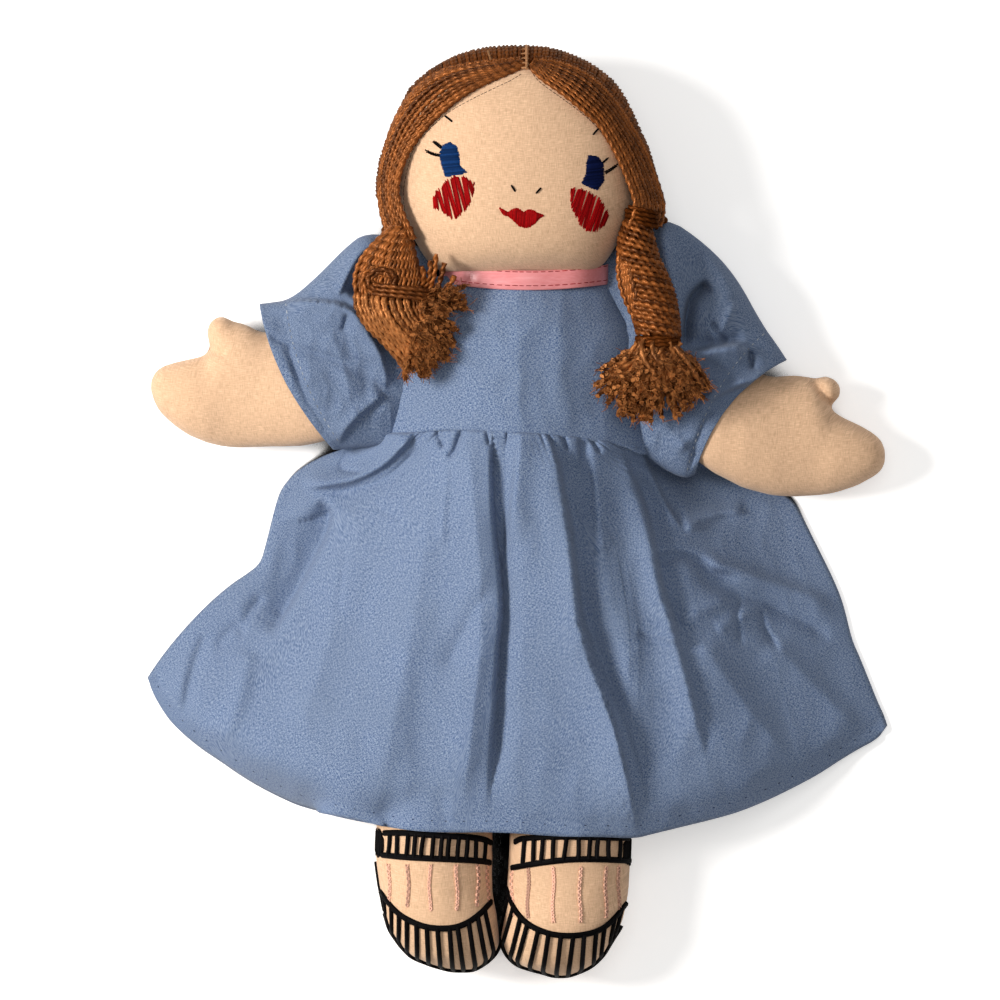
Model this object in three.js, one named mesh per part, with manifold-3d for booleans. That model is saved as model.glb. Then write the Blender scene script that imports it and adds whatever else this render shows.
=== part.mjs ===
// A cloth rag doll in a gathered dress, lying on its back.
// Left and right are the doll's own. +X is the doll's left, +Y its head, +Z the way its chest faces.
// The floor is z = 0 and the origin lies under the middle of the doll.
import * as THREE from 'three';
import { mergeVertices } from 'three/addons/utils/BufferGeometryUtils.js';
import Module from 'manifold-3d';

const wasm = await Module();
wasm.setup();

// Cloth, clearances and the flat that the doll rests on
const cloth = 1.0;
const gap = 0.3;
const flat = 0.5;
const seamGap = 0.6;
const seamEdge = 0.25;
const thread = 0.8;
const thinnest = 0.6;
const overrun = 2;
const reach = 400;

// Torso, from the hip seam to the base of the neck
const hipY = -33;
const torsoLength = 121;
const torsoWidth = 94.6;
const torsoThickness = 48;

// Head
const headX = -0.4;
const headLength = 79.2;
const headWidth = 91;
const headThickness = 58;

// Arms
const armLength = 90.4;
const armWidth = 44;
const armThickness = 29;
const armholeY = 50;
const armholeCut = 6.6;

// Legs
const legWidth = 46;
const legThickness = 40;
const legCentre = 20.5;
const rightLegLength = 138.8;
const leftLegLength = 141.45;

// Dress
const waistY = 30;
const ribbonWidth = 9.8;
const ribbonThickness = 0.6;
const neckBandRise = 4.8;
const skirtWidth = 278.2;
const skirtLength = 152;
const skirtLift = 0.3;
const skirtHeight = 51.4;
const hemHeight = 45;
const foldHeight = 2.6;
const backHemRise = 5;

// Hair
const hairLength = 81.65;
const hairWidth = 108;
const hairThickness = 64.6;
const tieRadius = 5.5;
const pigtailClearance = 3.4;
const tasselTieLength = 2;
const tasselTieWidth = 14;
const tasselTieThickness = 11;
const rightPigtailLength = 12.5;
const leftPigtailLength = 38.6;
const rightTasselLength = 33.6;
const leftTasselLength = 30.8;
const rightTasselWidth = 42.4;
const leftTasselWidth = 43;
const leftPigtailWidth = 20.6;
const pigtailThickness = 18;
const tasselThickness = 21;

// Counts of facets, and roughness of the surfaces
const nearZero = 1e-6;
const weldDistance = 1e-5;
const sides = 16;
const barrelSides = 24;
const tieSides = 10;
const tieRows = 6;
const cheekPoints = 10;
const skirtColumns = 26;
const skirtBackColumns = 8;
const skirtRows = 11;
const muslinRoughness = 0.9;
const fillingRoughness = 1.0;
const chambrayRoughness = 0.85;
const satinRoughness = 0.35;
const yarnRoughness = 0.7;
const flossRoughness = 0.4;
const shoeRoughness = 0.5;

// Places that follow from the sizes
const torsoZ = torsoThickness / 2 + gap + cloth - flat;
const neckY = hipY + torsoLength;
const neckRadiusShare = 0.625;
const neckRadius = (torsoThickness / 2) * neckRadiusShare;
const ribbonTopY = neckY + neckBandRise;
const headBottomY = ribbonTopY + gap;
const headZ = hairThickness / 2 - flat;
// The ties: sideways, up from the chin and up from the floor
const rightTie = new THREE.Vector3(-45.5, 9.4, 42);
const leftTie = new THREE.Vector3(45.5, 16.9, 45.5);
rightTie.y += headBottomY;
leftTie.y += headBottomY;
const armRootX = torsoWidth / 2 + seamGap;
const legRootY = hipY - seamGap;

// Sections and lofts
const fullness = 0.68;
// A section is a ring round a station: "round" is an ellipse, "full" a fuller one and "pillow" has the
// pointed sides of two flat pieces sewn together.
function sectionPoint(kind, turn) {
  const across = Math.cos(turn);
  const up = Math.sin(turn);
  if (kind === 'pillow') {
    return [across, Math.sign(Math.round(up / nearZero)) * Math.cos((Math.PI / 2) * Math.abs(across))];
  }
  if (kind === 'full') {
    return [
      Math.sign(across) * Math.abs(across) ** fullness,
      Math.sign(up) * Math.abs(up) ** fullness,
    ];
  }
  return [across, up];
}

// Builds one closed skin over rings that all have as many points, with a flat cap at each end.
function skin(rings) {
  const positions = [];
  const faces = [];
  const count = rings[0].length;
  for (const ring of rings) {
    for (const point of ring) {
      positions.push(point.x, point.y, point.z);
    }
  }
  const at = (row, column) => row * count + (column % count);
  for (let row = 0; row < rings.length - 1; row += 1) {
    for (let column = 0; column < count; column += 1) {
      faces.push(at(row, column), at(row + 1, column), at(row + 1, column + 1));
      faces.push(at(row, column), at(row + 1, column + 1), at(row, column + 1));
    }
  }
  const last = rings.length - 1;
  const first = positions.length / 3;
  for (const ring of [rings[0], rings[last]]) {
    const middle = new THREE.Vector3();
    ring.forEach((point) => middle.add(point));
    middle.divideScalar(count);
    positions.push(middle.x, middle.y, middle.z);
  }
  for (let column = 0; column < count; column += 1) {
    faces.push(first, at(0, column), at(0, column + 1));
    faces.push(first + 1, at(last, column + 1), at(last, column));
  }
  return fromFaces(positions, faces);
}

function fromFaces(positions, faces) {
  const geometry = new THREE.BufferGeometry();
  geometry.setAttribute('position', new THREE.Float32BufferAttribute(positions, 3));
  geometry.setIndex(faces);
  return facingOut(geometry);
}

function facingOut(geometry) {
  const position = geometry.getAttribute('position');
  const index = geometry.getIndex().array;
  let volume = 0;
  const corner = [new THREE.Vector3(), new THREE.Vector3(), new THREE.Vector3()];
  for (let i = 0; i < index.length; i += 3) {
    corner.forEach((vector, k) => vector.fromBufferAttribute(position, index[i + k]));
    volume += corner[0].dot(corner[1].cross(corner[2]));
  }
  if (volume > 0) {
    return geometry;
  }
  const turned = Array.from(index);
  for (let i = 0; i < turned.length; i += 3) {
    [turned[i], turned[i + 1]] = [turned[i + 1], turned[i]];
  }
  geometry.setIndex(turned);
  return geometry;
}

// A form is a stuffed shape: stations along Y or X, each with its centre and half sizes. Where two
// forms hinge on each other their ends are thin edges, so that they fold without meeting.
// A skip of 2 keeps every other point, which stays inside the finer skin.
function loft(form, grow = 0, skip = 1) {
  const rings = form.stations.map((station, i) => {
    let along = station.along;
    if (i === 0) {
      along -= form.way * grow;
    }
    if (i === form.stations.length - 1) {
      along += form.way * grow;
    }
    const ring = [];
    for (let k = 0; k < sides; k += skip) {
      const [across, up] = sectionPoint(form.section, (2 * Math.PI * k) / sides);
      const side = station.across + across * (station.width + grow);
      const height = station.rise + up * (station.depth + grow);
      ring.push(
        form.axis === 'y'
          ? new THREE.Vector3(side, along, height)
          : new THREE.Vector3(along, side, height),
      );
    }
    return ring;
  });
  return solid(skin(rings));
}

// The same form with its skin drawn in, for a lining or for the stuffing.
function inset(form, depth) {
  const kept = form.stations
    .map((station) => ({ ...station, width: station.width - depth, depth: station.depth - depth }))
    .filter((station) => station.depth > thinnest && station.width > thinnest);
  const start = form.stations[0].along + form.way * depth;
  const end = form.stations[form.stations.length - 1].along - form.way * depth;
  kept.forEach((station) => {
    const fromStart = (station.along - start) * form.way;
    const fromEnd = (end - station.along) * form.way;
    if (fromStart < 0) {
      station.along = start;
    }
    if (fromEnd < 0) {
      station.along = end;
    }
  });
  const stations = kept.filter(
    (station, i) => i === 0 || (station.along - kept[i - 1].along) * form.way > gap,
  );
  return { ...form, stations };
}

// Solids
function solid(geometry) {
  const bare = geometry.clone();
  bare.deleteAttribute('normal');
  bare.deleteAttribute('uv');
  const merged = mergeVertices(bare, weldDistance);
  return new wasm.Manifold(
    new wasm.Mesh({
      numProp: 3,
      vertProperties: new Float32Array(merged.getAttribute('position').array),
      triVerts: new Uint32Array(merged.getIndex().array),
    }),
  );
}

function box(low, high) {
  const size = new THREE.Vector3().subVectors(high, low);
  const middle = new THREE.Vector3().addVectors(low, high).multiplyScalar(0.5);
  const geometry = new THREE.BoxGeometry(size.x, size.y, size.z);
  geometry.translate(middle.x, middle.y, middle.z);
  return solid(geometry);
}

const aboveFloor = box(
  new THREE.Vector3(-reach, -reach, 0),
  new THREE.Vector3(reach, reach, reach),
);

function above(height) {
  return box(new THREE.Vector3(-reach, -reach, height), new THREE.Vector3(reach, reach, reach));
}

function below(height) {
  return box(new THREE.Vector3(-reach, -reach, -reach), new THREE.Vector3(reach, reach, height));
}

function between(lowY, highY) {
  return box(new THREE.Vector3(-reach, lowY, -reach), new THREE.Vector3(reach, highY, reach));
}

// A prism through the whole height over an outline drawn on the floor plane.
function prism(points) {
  const outline = new THREE.Shape(points.map(([x, y]) => new THREE.Vector2(x, y)));
  const geometry = new THREE.ExtrudeGeometry(outline, { depth: reach, bevelEnabled: false });
  return solid(geometry);
}

// Of a cut that leaves loose crumbs, the piece itself is the largest body.
function largest(body) {
  const parts = body.decompose();
  return parts.reduce((best, part) => (part.volume() > best.volume() ? part : best));
}

const doll = new THREE.Group();

function add(name, body, colour, roughness) {
  const found = largest(body).getMesh();
  const geometry = new THREE.BufferGeometry();
  geometry.setAttribute('position', new THREE.Float32BufferAttribute(found.vertProperties, 3));
  geometry.setIndex(Array.from(found.triVerts));
  const material = new THREE.MeshStandardMaterial({ color: colour, roughness, metalness: 0 });
  const mesh = new THREE.Mesh(geometry, material);
  mesh.name = name;
  doll.add(mesh);
}

const muslin = 0xf0cda6;
const filling = 0xf4f0e6;
const chambray = 0x8299bd;
const satin = 0xfaa9ab;
const yarn = 0x8d4c1b;
const darkYarn = 0x6b3410;
const blueFloss = 0x19407a;
const redFloss = 0xb01216;
const blackFloss = 0x232123;

// Torso and neck stub
// Columns: share of the length, half width and half thickness.
const torsoShares = [
  [0.0, 0.8, 0.0],
  [0.04, 0.81, 0.2],
  [0.1, 0.82, 0.4],
  [0.2, 0.84, 0.7],
  [0.3, 0.85, 0.87],
  [0.42, 0.87, 0.93],
  [0.52, 0.94, 0.965],
  [0.62, 1.0, 1.0],
  [0.75, 1.0, 0.97],
  [0.85, 0.93, 0.9],
  [0.92, 0.8, 0.78],
  [0.96, 0.69, 0.7],
];
const neckWidthShare = 0.6;
const neckTurnShares = [0, 0.28, 0.55, 0.8, 0.93];

const torso = { axis: 'y', way: 1, section: 'pillow', stations: [] };
for (const [along, width, depth] of torsoShares) {
  torso.stations.push({
    along: hipY + along * torsoLength,
    across: 0,
    rise: torsoZ,
    width: (width * torsoWidth) / 2,
    depth: Math.max((depth * torsoThickness) / 2, seamEdge),
  });
}
for (const share of neckTurnShares) {
  const turn = (share * Math.PI) / 2;
  torso.stations.push({
    along: neckY + neckRadius * Math.sin(turn),
    across: 0,
    rise: torsoZ,
    width: (neckWidthShare * torsoWidth) / 2,
    depth: neckRadius * Math.cos(turn),
  });
}

const turningGap = 12;
const armRootShare = 0.73;

// A cover is a sewn skin with a turning gap near its root, where the stuffing went in.
function addStuffed(prefix, form, cutters, gapLow, gapHigh) {
  const lining = inset(form, cloth);
  const stuffing = inset(lining, gap);
  const skip = form.section === 'pillow' ? 1 : 2;
  let cover = loft(form).subtract(loft(lining));
  cover = cover.subtract(box(gapLow, gapHigh));
  let filled = loft(stuffing, 0, skip);
  for (const cutter of cutters) {
    cover = cover.subtract(cutter);
    filled = filled.subtract(cutter);
  }
  add(`${prefix}_cover`, cover.intersect(aboveFloor), muslin, muslinRoughness);
  add(`${prefix}_stuffing`, filled.intersect(above(flat + cloth)), filling, fillingRoughness);
}

const torsoGapShare = 0.25;
const torsoGapY = hipY + torsoGapShare * torsoLength;
addStuffed(
  'torso',
  torso,
  [],
  new THREE.Vector3(-turningGap, torsoGapY, 0),
  new THREE.Vector3(turningGap, torsoGapY + turningGap, torsoZ / 2),
);

// Bodice and neck ribbon
const bodiceRoom = loft(torso, gap + cloth + gap);
const bodice = loft(torso, gap + cloth)
  .subtract(loft(torso, gap))
  .intersect(between(waistY, neckY));
const armhole = (side) => {
  const inner = torsoWidth / 2 - armholeCut;
  const half = (armWidth * armRootShare) / 2 + cloth;
  const near = side > 0 ? inner : -reach;
  const far = side > 0 ? reach : -inner;
  return box(
    new THREE.Vector3(near, armholeY - half, -reach),
    new THREE.Vector3(far, armholeY + half, reach),
  );
};
const openBodice = bodice.subtract(armhole(1)).subtract(armhole(-1));
add('bodice_front', openBodice.intersect(above(torsoZ + gap / 2)), chambray, chambrayRoughness);
add(
  'bodice_back',
  openBodice.intersect(below(torsoZ - gap / 2)).intersect(aboveFloor),
  chambray,
  chambrayRoughness,
);
const ribbon = loft(torso, gap + cloth + gap + ribbonThickness)
  .subtract(bodiceRoom)
  .intersect(between(ribbonTopY - ribbonWidth, ribbonTopY));
add('neck_ribbon', ribbon, satin, satinRoughness);

// Head, with a socket in it for the neck stub
// Columns: share of the length, half width and half thickness.
const headShares = [
  [0.0, 0.66, 0.48],
  [0.037, 0.79, 0.655],
  [0.087, 0.87, 0.776],
  [0.163, 0.935, 0.88],
  [0.277, 0.975, 0.965],
  [0.44, 1.0, 1.0],
  [0.58, 0.98, 1.0],
  [0.67, 0.925, 0.965],
  [0.77, 0.84, 0.88],
  [0.86, 0.72, 0.76],
  [0.93, 0.56, 0.58],
  [0.98, 0.33, 0.345],
  [1.0, 0.13, 0.14],
];
function headForm(shares, length, width, thickness) {
  return {
    axis: 'y',
    way: 1,
    section: 'round',
    stations: shares.map(([along, wide, deep]) => ({
      along: headBottomY + along * length,
      across: headX,
      rise: headZ,
      width: (wide * width) / 2,
      depth: (deep * thickness) / 2,
    })),
  };
}
const head = headForm(headShares, headLength, headWidth, headThickness);

function barrel(radius, half) {
  const geometry = new THREE.CylinderGeometry(radius, radius, 2 * half, barrelSides);
  geometry.rotateZ(Math.PI / 2);
  geometry.translate(0, neckY, torsoZ);
  return solid(geometry);
}
const facetAllowance = 1.01;
const collar = gap + cloth + gap;
const neckHalf = (neckWidthShare * torsoWidth) / 2 + collar;
const socket = barrel((neckRadius + collar) * facetAllowance, neckHalf);
addStuffed(
  'head',
  head,
  [socket],
  new THREE.Vector3(headX - turningGap, headBottomY, headZ - turningGap / 2),
  new THREE.Vector3(headX + turningGap, headBottomY + turningGap, headZ),
);

// Arms with mitten hands; the step in the top edge is the thumb
// Columns: share of the length, half width, half thickness and sideways shift.
const rightArmShares = [
  [0.0, armRootShare, 0.0, 0.0],
  [0.06, 0.8, 0.37, -0.01],
  [0.15, 0.84, 0.73, -0.03],
  [0.25, 0.91, 0.94, -0.06],
  [0.38, 0.95, 1.0, -0.1],
  [0.525, 0.97, 0.98, -0.095],
  [0.68, 1.08, 1.0, -0.05],
  [0.75, 1.04, 0.92, -0.045],
  [0.775, 0.73, 0.8, -0.18],
  [0.855, 0.63, 0.69, -0.157],
  [0.945, 0.44, 0.5, -0.127],
  [0.99, 0.22, 0.28, -0.08],
  [1.0, 0.14, 0.14, -0.064],
];
const leftArmShares = [
  [0.0, armRootShare, 0.0, 0.0],
  [0.08, 0.82, 0.46, -0.08],
  [0.2, 0.94, 0.78, -0.33],
  [0.31, 1.0, 0.92, -0.37],
  [0.47, 0.98, 0.96, -0.486],
  [0.55, 1.02, 0.98, -0.5],
  [0.76, 1.0, 1.0, -0.495],
  [0.8, 0.93, 0.94, -0.5],
  [0.823, 0.63, 0.8, -0.64],
  [0.91, 0.47, 0.62, -0.655],
  [0.98, 0.27, 0.35, -0.67],
  [1.0, 0.14, 0.14, -0.7],
];
const rightArmDropShare = 0.68;
const leftArmDropShare = 0.76;
const armRestZ = armThickness / 2 - flat;

// The height of the arm's middle, which comes down from the shoulder to the floor.
function armMiddle(along, dropShare) {
  const drop = THREE.MathUtils.smoothstep(along, 0, dropShare);
  return THREE.MathUtils.lerp(torsoZ, armRestZ, drop);
}

function armForm(side, shares, dropShare) {
  return {
    axis: 'x',
    way: side,
    section: 'round',
    stations: shares.map(([along, wide, deep, shift]) => ({
      along: side * (armRootX + along * armLength),
      across: armholeY + shift * armWidth,
      rise: armMiddle(along, dropShare),
      width: (wide * armWidth) / 2,
      depth: Math.max((deep * armThickness) / 2, seamEdge),
    })),
  };
}
const rightArm = armForm(-1, rightArmShares, rightArmDropShare);
const leftArm = armForm(1, leftArmShares, leftArmDropShare);
for (const [name, form, side] of [['right_arm', rightArm, -1], ['left_arm', leftArm, 1]]) {
  const middle = side * (armRootX + turningGap);
  addStuffed(
    name,
    form,
    [],
    new THREE.Vector3(middle - turningGap / 4, armholeY - turningGap / 2, 0),
    new THREE.Vector3(middle + turningGap / 4, armholeY + turningGap / 2, torsoZ - thinnest),
  );
}

// Legs and feet
// Columns: share of the length, half width, half thickness, sideways shift and rise.
const rightLegShares = [
  [0.0, 0.8, 0.0, 0.0, 0.13],
  [0.06, 0.84, 0.37, -0.03, 0.12],
  [0.14, 0.88, 0.7, -0.06, 0.09],
  [0.22, 0.92, 0.9, -0.1, 0.05],
  [0.32, 0.95, 0.965, -0.14, 0.0375],
  [0.605, 0.95, 0.965, -0.24, 0.0375],
  [0.66, 0.97, 1.0, -0.235, 0.0],
  [0.8, 1.0, 1.0, -0.23, 0.0],
  [0.9, 0.99, 0.97, -0.225, 0.0],
  [0.95, 0.91, 0.85, -0.2, 0.0],
  [0.98, 0.72, 0.62, -0.13, 0.0],
  [1.0, 0.42, 0.3, -0.12, 0.0],
];
const leftLegShares = [
  [0.0, 0.8, 0.0, 0.0, 0.13],
  [0.06, 0.84, 0.37, 0.0, 0.12],
  [0.14, 0.88, 0.7, 0.0, 0.09],
  [0.22, 0.92, 0.9, 0.0, 0.05],
  [0.32, 0.95, 0.965, 0.0, 0.0375],
  [0.605, 0.97, 0.965, -0.017, 0.0375],
  [0.66, 1.0, 1.0, -0.025, 0.0],
  [0.8, 1.01, 1.0, -0.045, 0.0],
  [0.9, 0.99, 0.97, -0.075, 0.0],
  [0.95, 0.9, 0.85, -0.11, 0.0],
  [0.98, 0.7, 0.62, -0.14, 0.0],
  [1.0, 0.42, 0.3, -0.15, 0.0],
];
const legRestZ = legThickness / 2 - flat;

function legForm(side, shares, length) {
  return {
    axis: 'y',
    way: -1,
    section: 'round',
    stations: shares.map(([along, wide, deep, shift, rise]) => ({
      along: legRootY - along * length,
      across: side * legCentre + shift * legWidth,
      rise: legRestZ + rise * legThickness,
      width: (wide * legWidth) / 2,
      depth: Math.max((deep * legThickness) / 2, seamEdge),
    })),
  };
}
const rightLeg = legForm(-1, rightLegShares, rightLegLength);
const leftLeg = legForm(1, leftLegShares, leftLegLength);
for (const [name, form, side] of [['right_leg', rightLeg, -1], ['left_leg', leftLeg, 1]]) {
  const middle = side * legCentre;
  const low = legRootY - 2 * turningGap;
  addStuffed(
    name,
    form,
    [],
    new THREE.Vector3(middle - turningGap / 2, low, 0),
    new THREE.Vector3(middle + turningGap / 2, low + turningGap / 2, torsoZ - legThickness / 4),
  );
}

// Sleeves, each a short puffed tube of cloth round the arm
// Columns: the top and the bottom of each ring as shares of the sleeve's length and height, and its
// half thickness and lift over the arm's middle, a share of the arm's thickness. The length runs out
// from the side seam, the height up from the underarm.
const rightSleeveShares = [
  [0.18, 1.0, 0.02, 0.09, 0.62, 0.0090],
  [0.34, 0.965, 0.13, 0.06, 0.88, -0.0075],
  [0.54, 0.8, 0.23, 0.035, 0.97, -0.0266],
  [0.74, 0.69, 0.31, 0.015, 0.98, -0.0387],
  [1.0, 0.675, 0.37, 0.0, 0.96, -0.0156],
];
const leftSleeveShares = [
  [0.12, 1.0, 0.02, 0.16, 0.62, 0.0048],
  [0.37, 0.91, 0.09, 0.1, 0.88, -0.0103],
  [0.62, 0.775, 0.16, 0.06, 0.97, -0.0276],
  [0.82, 0.595, 0.23, 0.03, 0.98, -0.0426],
  [1.0, 0.455, 0.3, 0.0, 0.96, -0.0353],
];
const rightSleeveLength = 47;
const rightSleeveHeight = 81;
const rightSleeveY = 23.4;
const leftSleeveLength = 51.8;
const leftSleeveHeight = 97.5;
const leftSleeveY = 12.8;
const sleeveThickness = 36;
const sleeveSeamX = torsoWidth / 2 + gap + cloth + gap;

function sleeveSkin(side, shares, length, height, bottomY, shrink, trim) {
  const dropShare = side > 0 ? leftArmDropShare : rightArmDropShare;
  const lastRow = shares.length - 1;
  const rings = shares.map(([topOut, topUp, lowOut, lowUp, deep, lift], row) => {
    const top = new THREE.Vector2(sleeveSeamX + topOut * length, bottomY + topUp * height);
    const low = new THREE.Vector2(sleeveSeamX + lowOut * length, bottomY + lowUp * height);
    const middle = new THREE.Vector2().addVectors(top, low).multiplyScalar(0.5);
    const line = new THREE.Vector2().subVectors(top, low).multiplyScalar(0.5);
    const half = line.length() - shrink;
    const halfDepth = (deep * sleeveThickness) / 2 - shrink;
    const armRise = armMiddle((middle.x - armRootX) / armLength, dropShare);
    const centreZ = armRise + lift * armThickness;
    line.normalize();
    const outward = row === lastRow ? trim : 0;
    const inward = row === 0 ? trim : 0;
    const ring = [];
    for (let k = 0; k < sides; k += 1) {
      const [across, up] = sectionPoint('full', (2 * Math.PI * k) / sides);
      const x = middle.x + line.x * across * half + (outward - inward) * line.y;
      const y = middle.y + line.y * across * half - (outward - inward) * line.x;
      ring.push(new THREE.Vector3(side * x, y, centreZ + up * halfDepth));
    }
    return ring;
  });
  return solid(skin(rings));
}
const sleeves = [
  ['right_sleeve', -1, rightSleeveShares, rightSleeveLength, rightSleeveHeight, rightSleeveY],
  ['left_sleeve', 1, leftSleeveShares, leftSleeveLength, leftSleeveHeight, leftSleeveY],
];
const sleeveBlocks = [];
for (const [name, side, shares, length, height, bottomY] of sleeves) {
  const outer = sleeveSkin(side, shares, length, height, bottomY, 0, 0);
  const inner = sleeveSkin(side, shares, length, height, bottomY, cloth, overrun);
  const wide = sleeveSkin(side, shares, length, height, bottomY, -gap, gap);
  sleeveBlocks.push(wide);
  add(name, outer.subtract(inner).subtract(bodiceRoom), chambray, chambrayRoughness);
}

// Skirt, one gathered panel that lies over the legs and under them
// Edges, as shares of the skirt's half width and length, from the waist to the hem.
const rightEdgeShares = [
  [-0.352, 0.0],
  [-0.446, 0.04],
  [-0.547, 0.085],
  [-0.62, 0.121],
  [-0.654, 0.183],
  [-0.683, 0.281],
  [-0.733, 0.362],
  [-0.834, 0.434],
  [-0.935, 0.526],
  [-1.0, 0.608],
];
const leftEdgeShares = [
  [0.352, 0.0],
  [0.388, 0.04],
  [0.475, 0.085],
  [0.604, 0.118],
  [0.747, 0.165],
  [0.798, 0.263],
  [0.855, 0.368],
  [0.899, 0.493],
  [0.949, 0.612],
  [1.0, 0.73],
];
const middleShares = [0.0, 0.066, 0.145, 0.237, 0.342, 0.46, 0.592, 0.737, 0.875, 1.0];
// Folds: where each one starts at the waist and ends at the hem across the skirt, its width, its height
// and the stretch of the length that it covers.
const foldShares = [
  [-0.13, -0.1, 0.035, -1.0, 0.02, 0.8],
  [-0.02, 0.03, 0.05, 0.7, 0.02, 0.75],
  [0.11, 0.05, 0.03, -0.7, 0.02, 0.35],
  [0.2, 0.33, 0.05, 1.0, 0.05, 1.0],
  [0.33, 0.45, 0.05, -0.8, 0.1, 0.95],
  [0.5, 0.62, 0.07, 0.7, 0.15, 0.9],
  [-0.45, -0.33, 0.06, -0.7, 0.1, 0.9],
  [-0.6, -0.55, 0.06, 0.8, 0.15, 1.0],
  [-0.75, -0.74, 0.06, -0.8, 0.35, 1.0],
];

const edgeCurve = (shares) =>
  new THREE.SplineCurve(shares.map(([x, y]) => new THREE.Vector2(x, y)));
const rightEdge = edgeCurve(rightEdgeShares);
const leftEdge = edgeCurve(leftEdgeShares);
const middleLine = edgeCurve(middleShares.map((y, i) => [i, y]));
const waistTop = waistY - gap;

const drapeEase = 4.5;
const drapeGap = 0.8;

// How high a stuffed form stands at a place seen from above, with its width eased a little.
function standing(form, x, y) {
  const list = form.stations;
  const along = (y - list[0].along) * form.way;
  const reachAlong = (list[list.length - 1].along - list[0].along) * form.way;
  if (along < 0 || along > reachAlong) {
    return 0;
  }
  const next = Math.max(1, list.findIndex((station) => (station.along - y) * form.way >= 0));
  const before = list[next - 1];
  const after = list[next];
  const share = (y - before.along) / (after.along - before.along);
  const mix = (key) => THREE.MathUtils.lerp(before[key], after[key], share);
  const local = Math.abs(x - mix('across')) / (mix('width') + drapeEase);
  if (local >= 1) {
    return 0;
  }
  const lens = Math.cos((Math.PI / 2) * local);
  const round = Math.sqrt(1 - local ** 2);
  return mix('rise') + mix('depth') * (form.section === 'pillow' ? lens : round);
}
const foldFadeShare = 0.12;
function foldRise(u, v) {
  let rise = 0;
  for (const [start, end, width, height, from, to] of foldShares) {
    const place = THREE.MathUtils.lerp(start, end, v);
    const near = Math.exp(-(((u - place) / width) ** 2));
    const window =
      THREE.MathUtils.smoothstep(v, from, from + foldFadeShare) *
      (1 - THREE.MathUtils.smoothstep(v, to - foldFadeShare, to));
    rise += height * near * window;
  }
  return rise * foldHeight;
}

// Shares of the length over which the skirt changes, and powers that shape its section
const waistHalfShare = 0.36;
const settleShares = [0.02, 0.16];
const backShares = [0.0, 0.1];
const swellShares = [0.0, 0.12];
const bellyShares = [0.02, 0.2];
const spreadShares = [0.25, 1.0];
const easeShares = [0.35, 1.0];
const hemShares = [0.3, 0.8];
const bowPowers = [2, 4];
const spreadPower = 1.7;
const bellyPower = 1.5;
const backEdgePower = 8;
const backHemPower = 4;

const change = (from, to, v, [start, end]) =>
  THREE.MathUtils.lerp(from, to, THREE.MathUtils.smoothstep(v, start, end));

// A point of the skirt: u runs across from -1 to 1 and v from the waist to the hem.
function skirtPoint(u, v, front, drawIn) {
  const left = leftEdge.getPoint(v);
  const right = rightEdge.getPoint(v);
  const middle = middleLine.getPoint(v).y;
  const side = u * (1 - (2 * drawIn) / (skirtWidth * THREE.MathUtils.lerp(waistHalfShare, 1, v)));
  const half = skirtWidth / 2;
  const x = THREE.MathUtils.lerp(right.x * half, left.x * half, (side + 1) / 2);
  const power = THREE.MathUtils.lerp(...bowPowers, v);
  const bow = ((left.y + right.y) / 2 - middle) * Math.abs(side) ** power;
  let down = middle + ((left.y - right.y) / 2) * side + bow;
  const edgeRise = change(torsoZ, skirtLift + 2 * cloth, v, settleShares);
  if (!front) {
    const low = skirtLift + drawIn;
    const under = torsoThickness / 2 + gap + cloth - drawIn;
    const lens = torsoZ - under * Math.cos((Math.PI / 2) * Math.abs(side));
    const laid = low + (edgeRise - skirtLift) * Math.abs(side) ** backEdgePower;
    down -= (backHemRise / skirtLength) * v * (1 - Math.abs(side) ** backHemPower);
    const z = Math.max(change(lens, laid, v, backShares), low);
    return new THREE.Vector3(x, waistTop - down * skirtLength, z);
  }
  const spread = change(1, spreadPower, v, spreadShares);
  const belly = change(1, bellyPower, v, bellyShares);
  const ease = change(belly, 1, v, easeShares);
  const dome = Math.cos((Math.PI / 2) * Math.abs(side) ** spread) ** ease;
  const waistRise = torsoZ + torsoThickness / 2 + gap + cloth;
  const swell = change(waistRise, skirtHeight, v, swellShares);
  const top = change(swell, hemHeight, v, hemShares);
  const lifted = edgeRise + (top - edgeRise) * dome + foldRise(side, v) * dome;
  const y = waistTop - down * skirtLength;
  const body = Math.max(...[torso, rightLeg, leftLeg].map((form) => standing(form, x, y)));
  const resting = body > 0 ? body + drapeGap + cloth : 0;
  return new THREE.Vector3(x, y, Math.max(lifted, resting) - drawIn);
}

function skirtRing(v, drawIn) {
  const ring = [];
  for (let k = 0; k <= skirtColumns; k += 1) {
    ring.push(skirtPoint((2 * k) / skirtColumns - 1, v, true, drawIn));
  }
  for (let k = 1; k < skirtBackColumns; k += 1) {
    ring.push(skirtPoint(1 - (2 * k) / skirtBackColumns, v, false, drawIn));
  }
  return ring;
}

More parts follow.
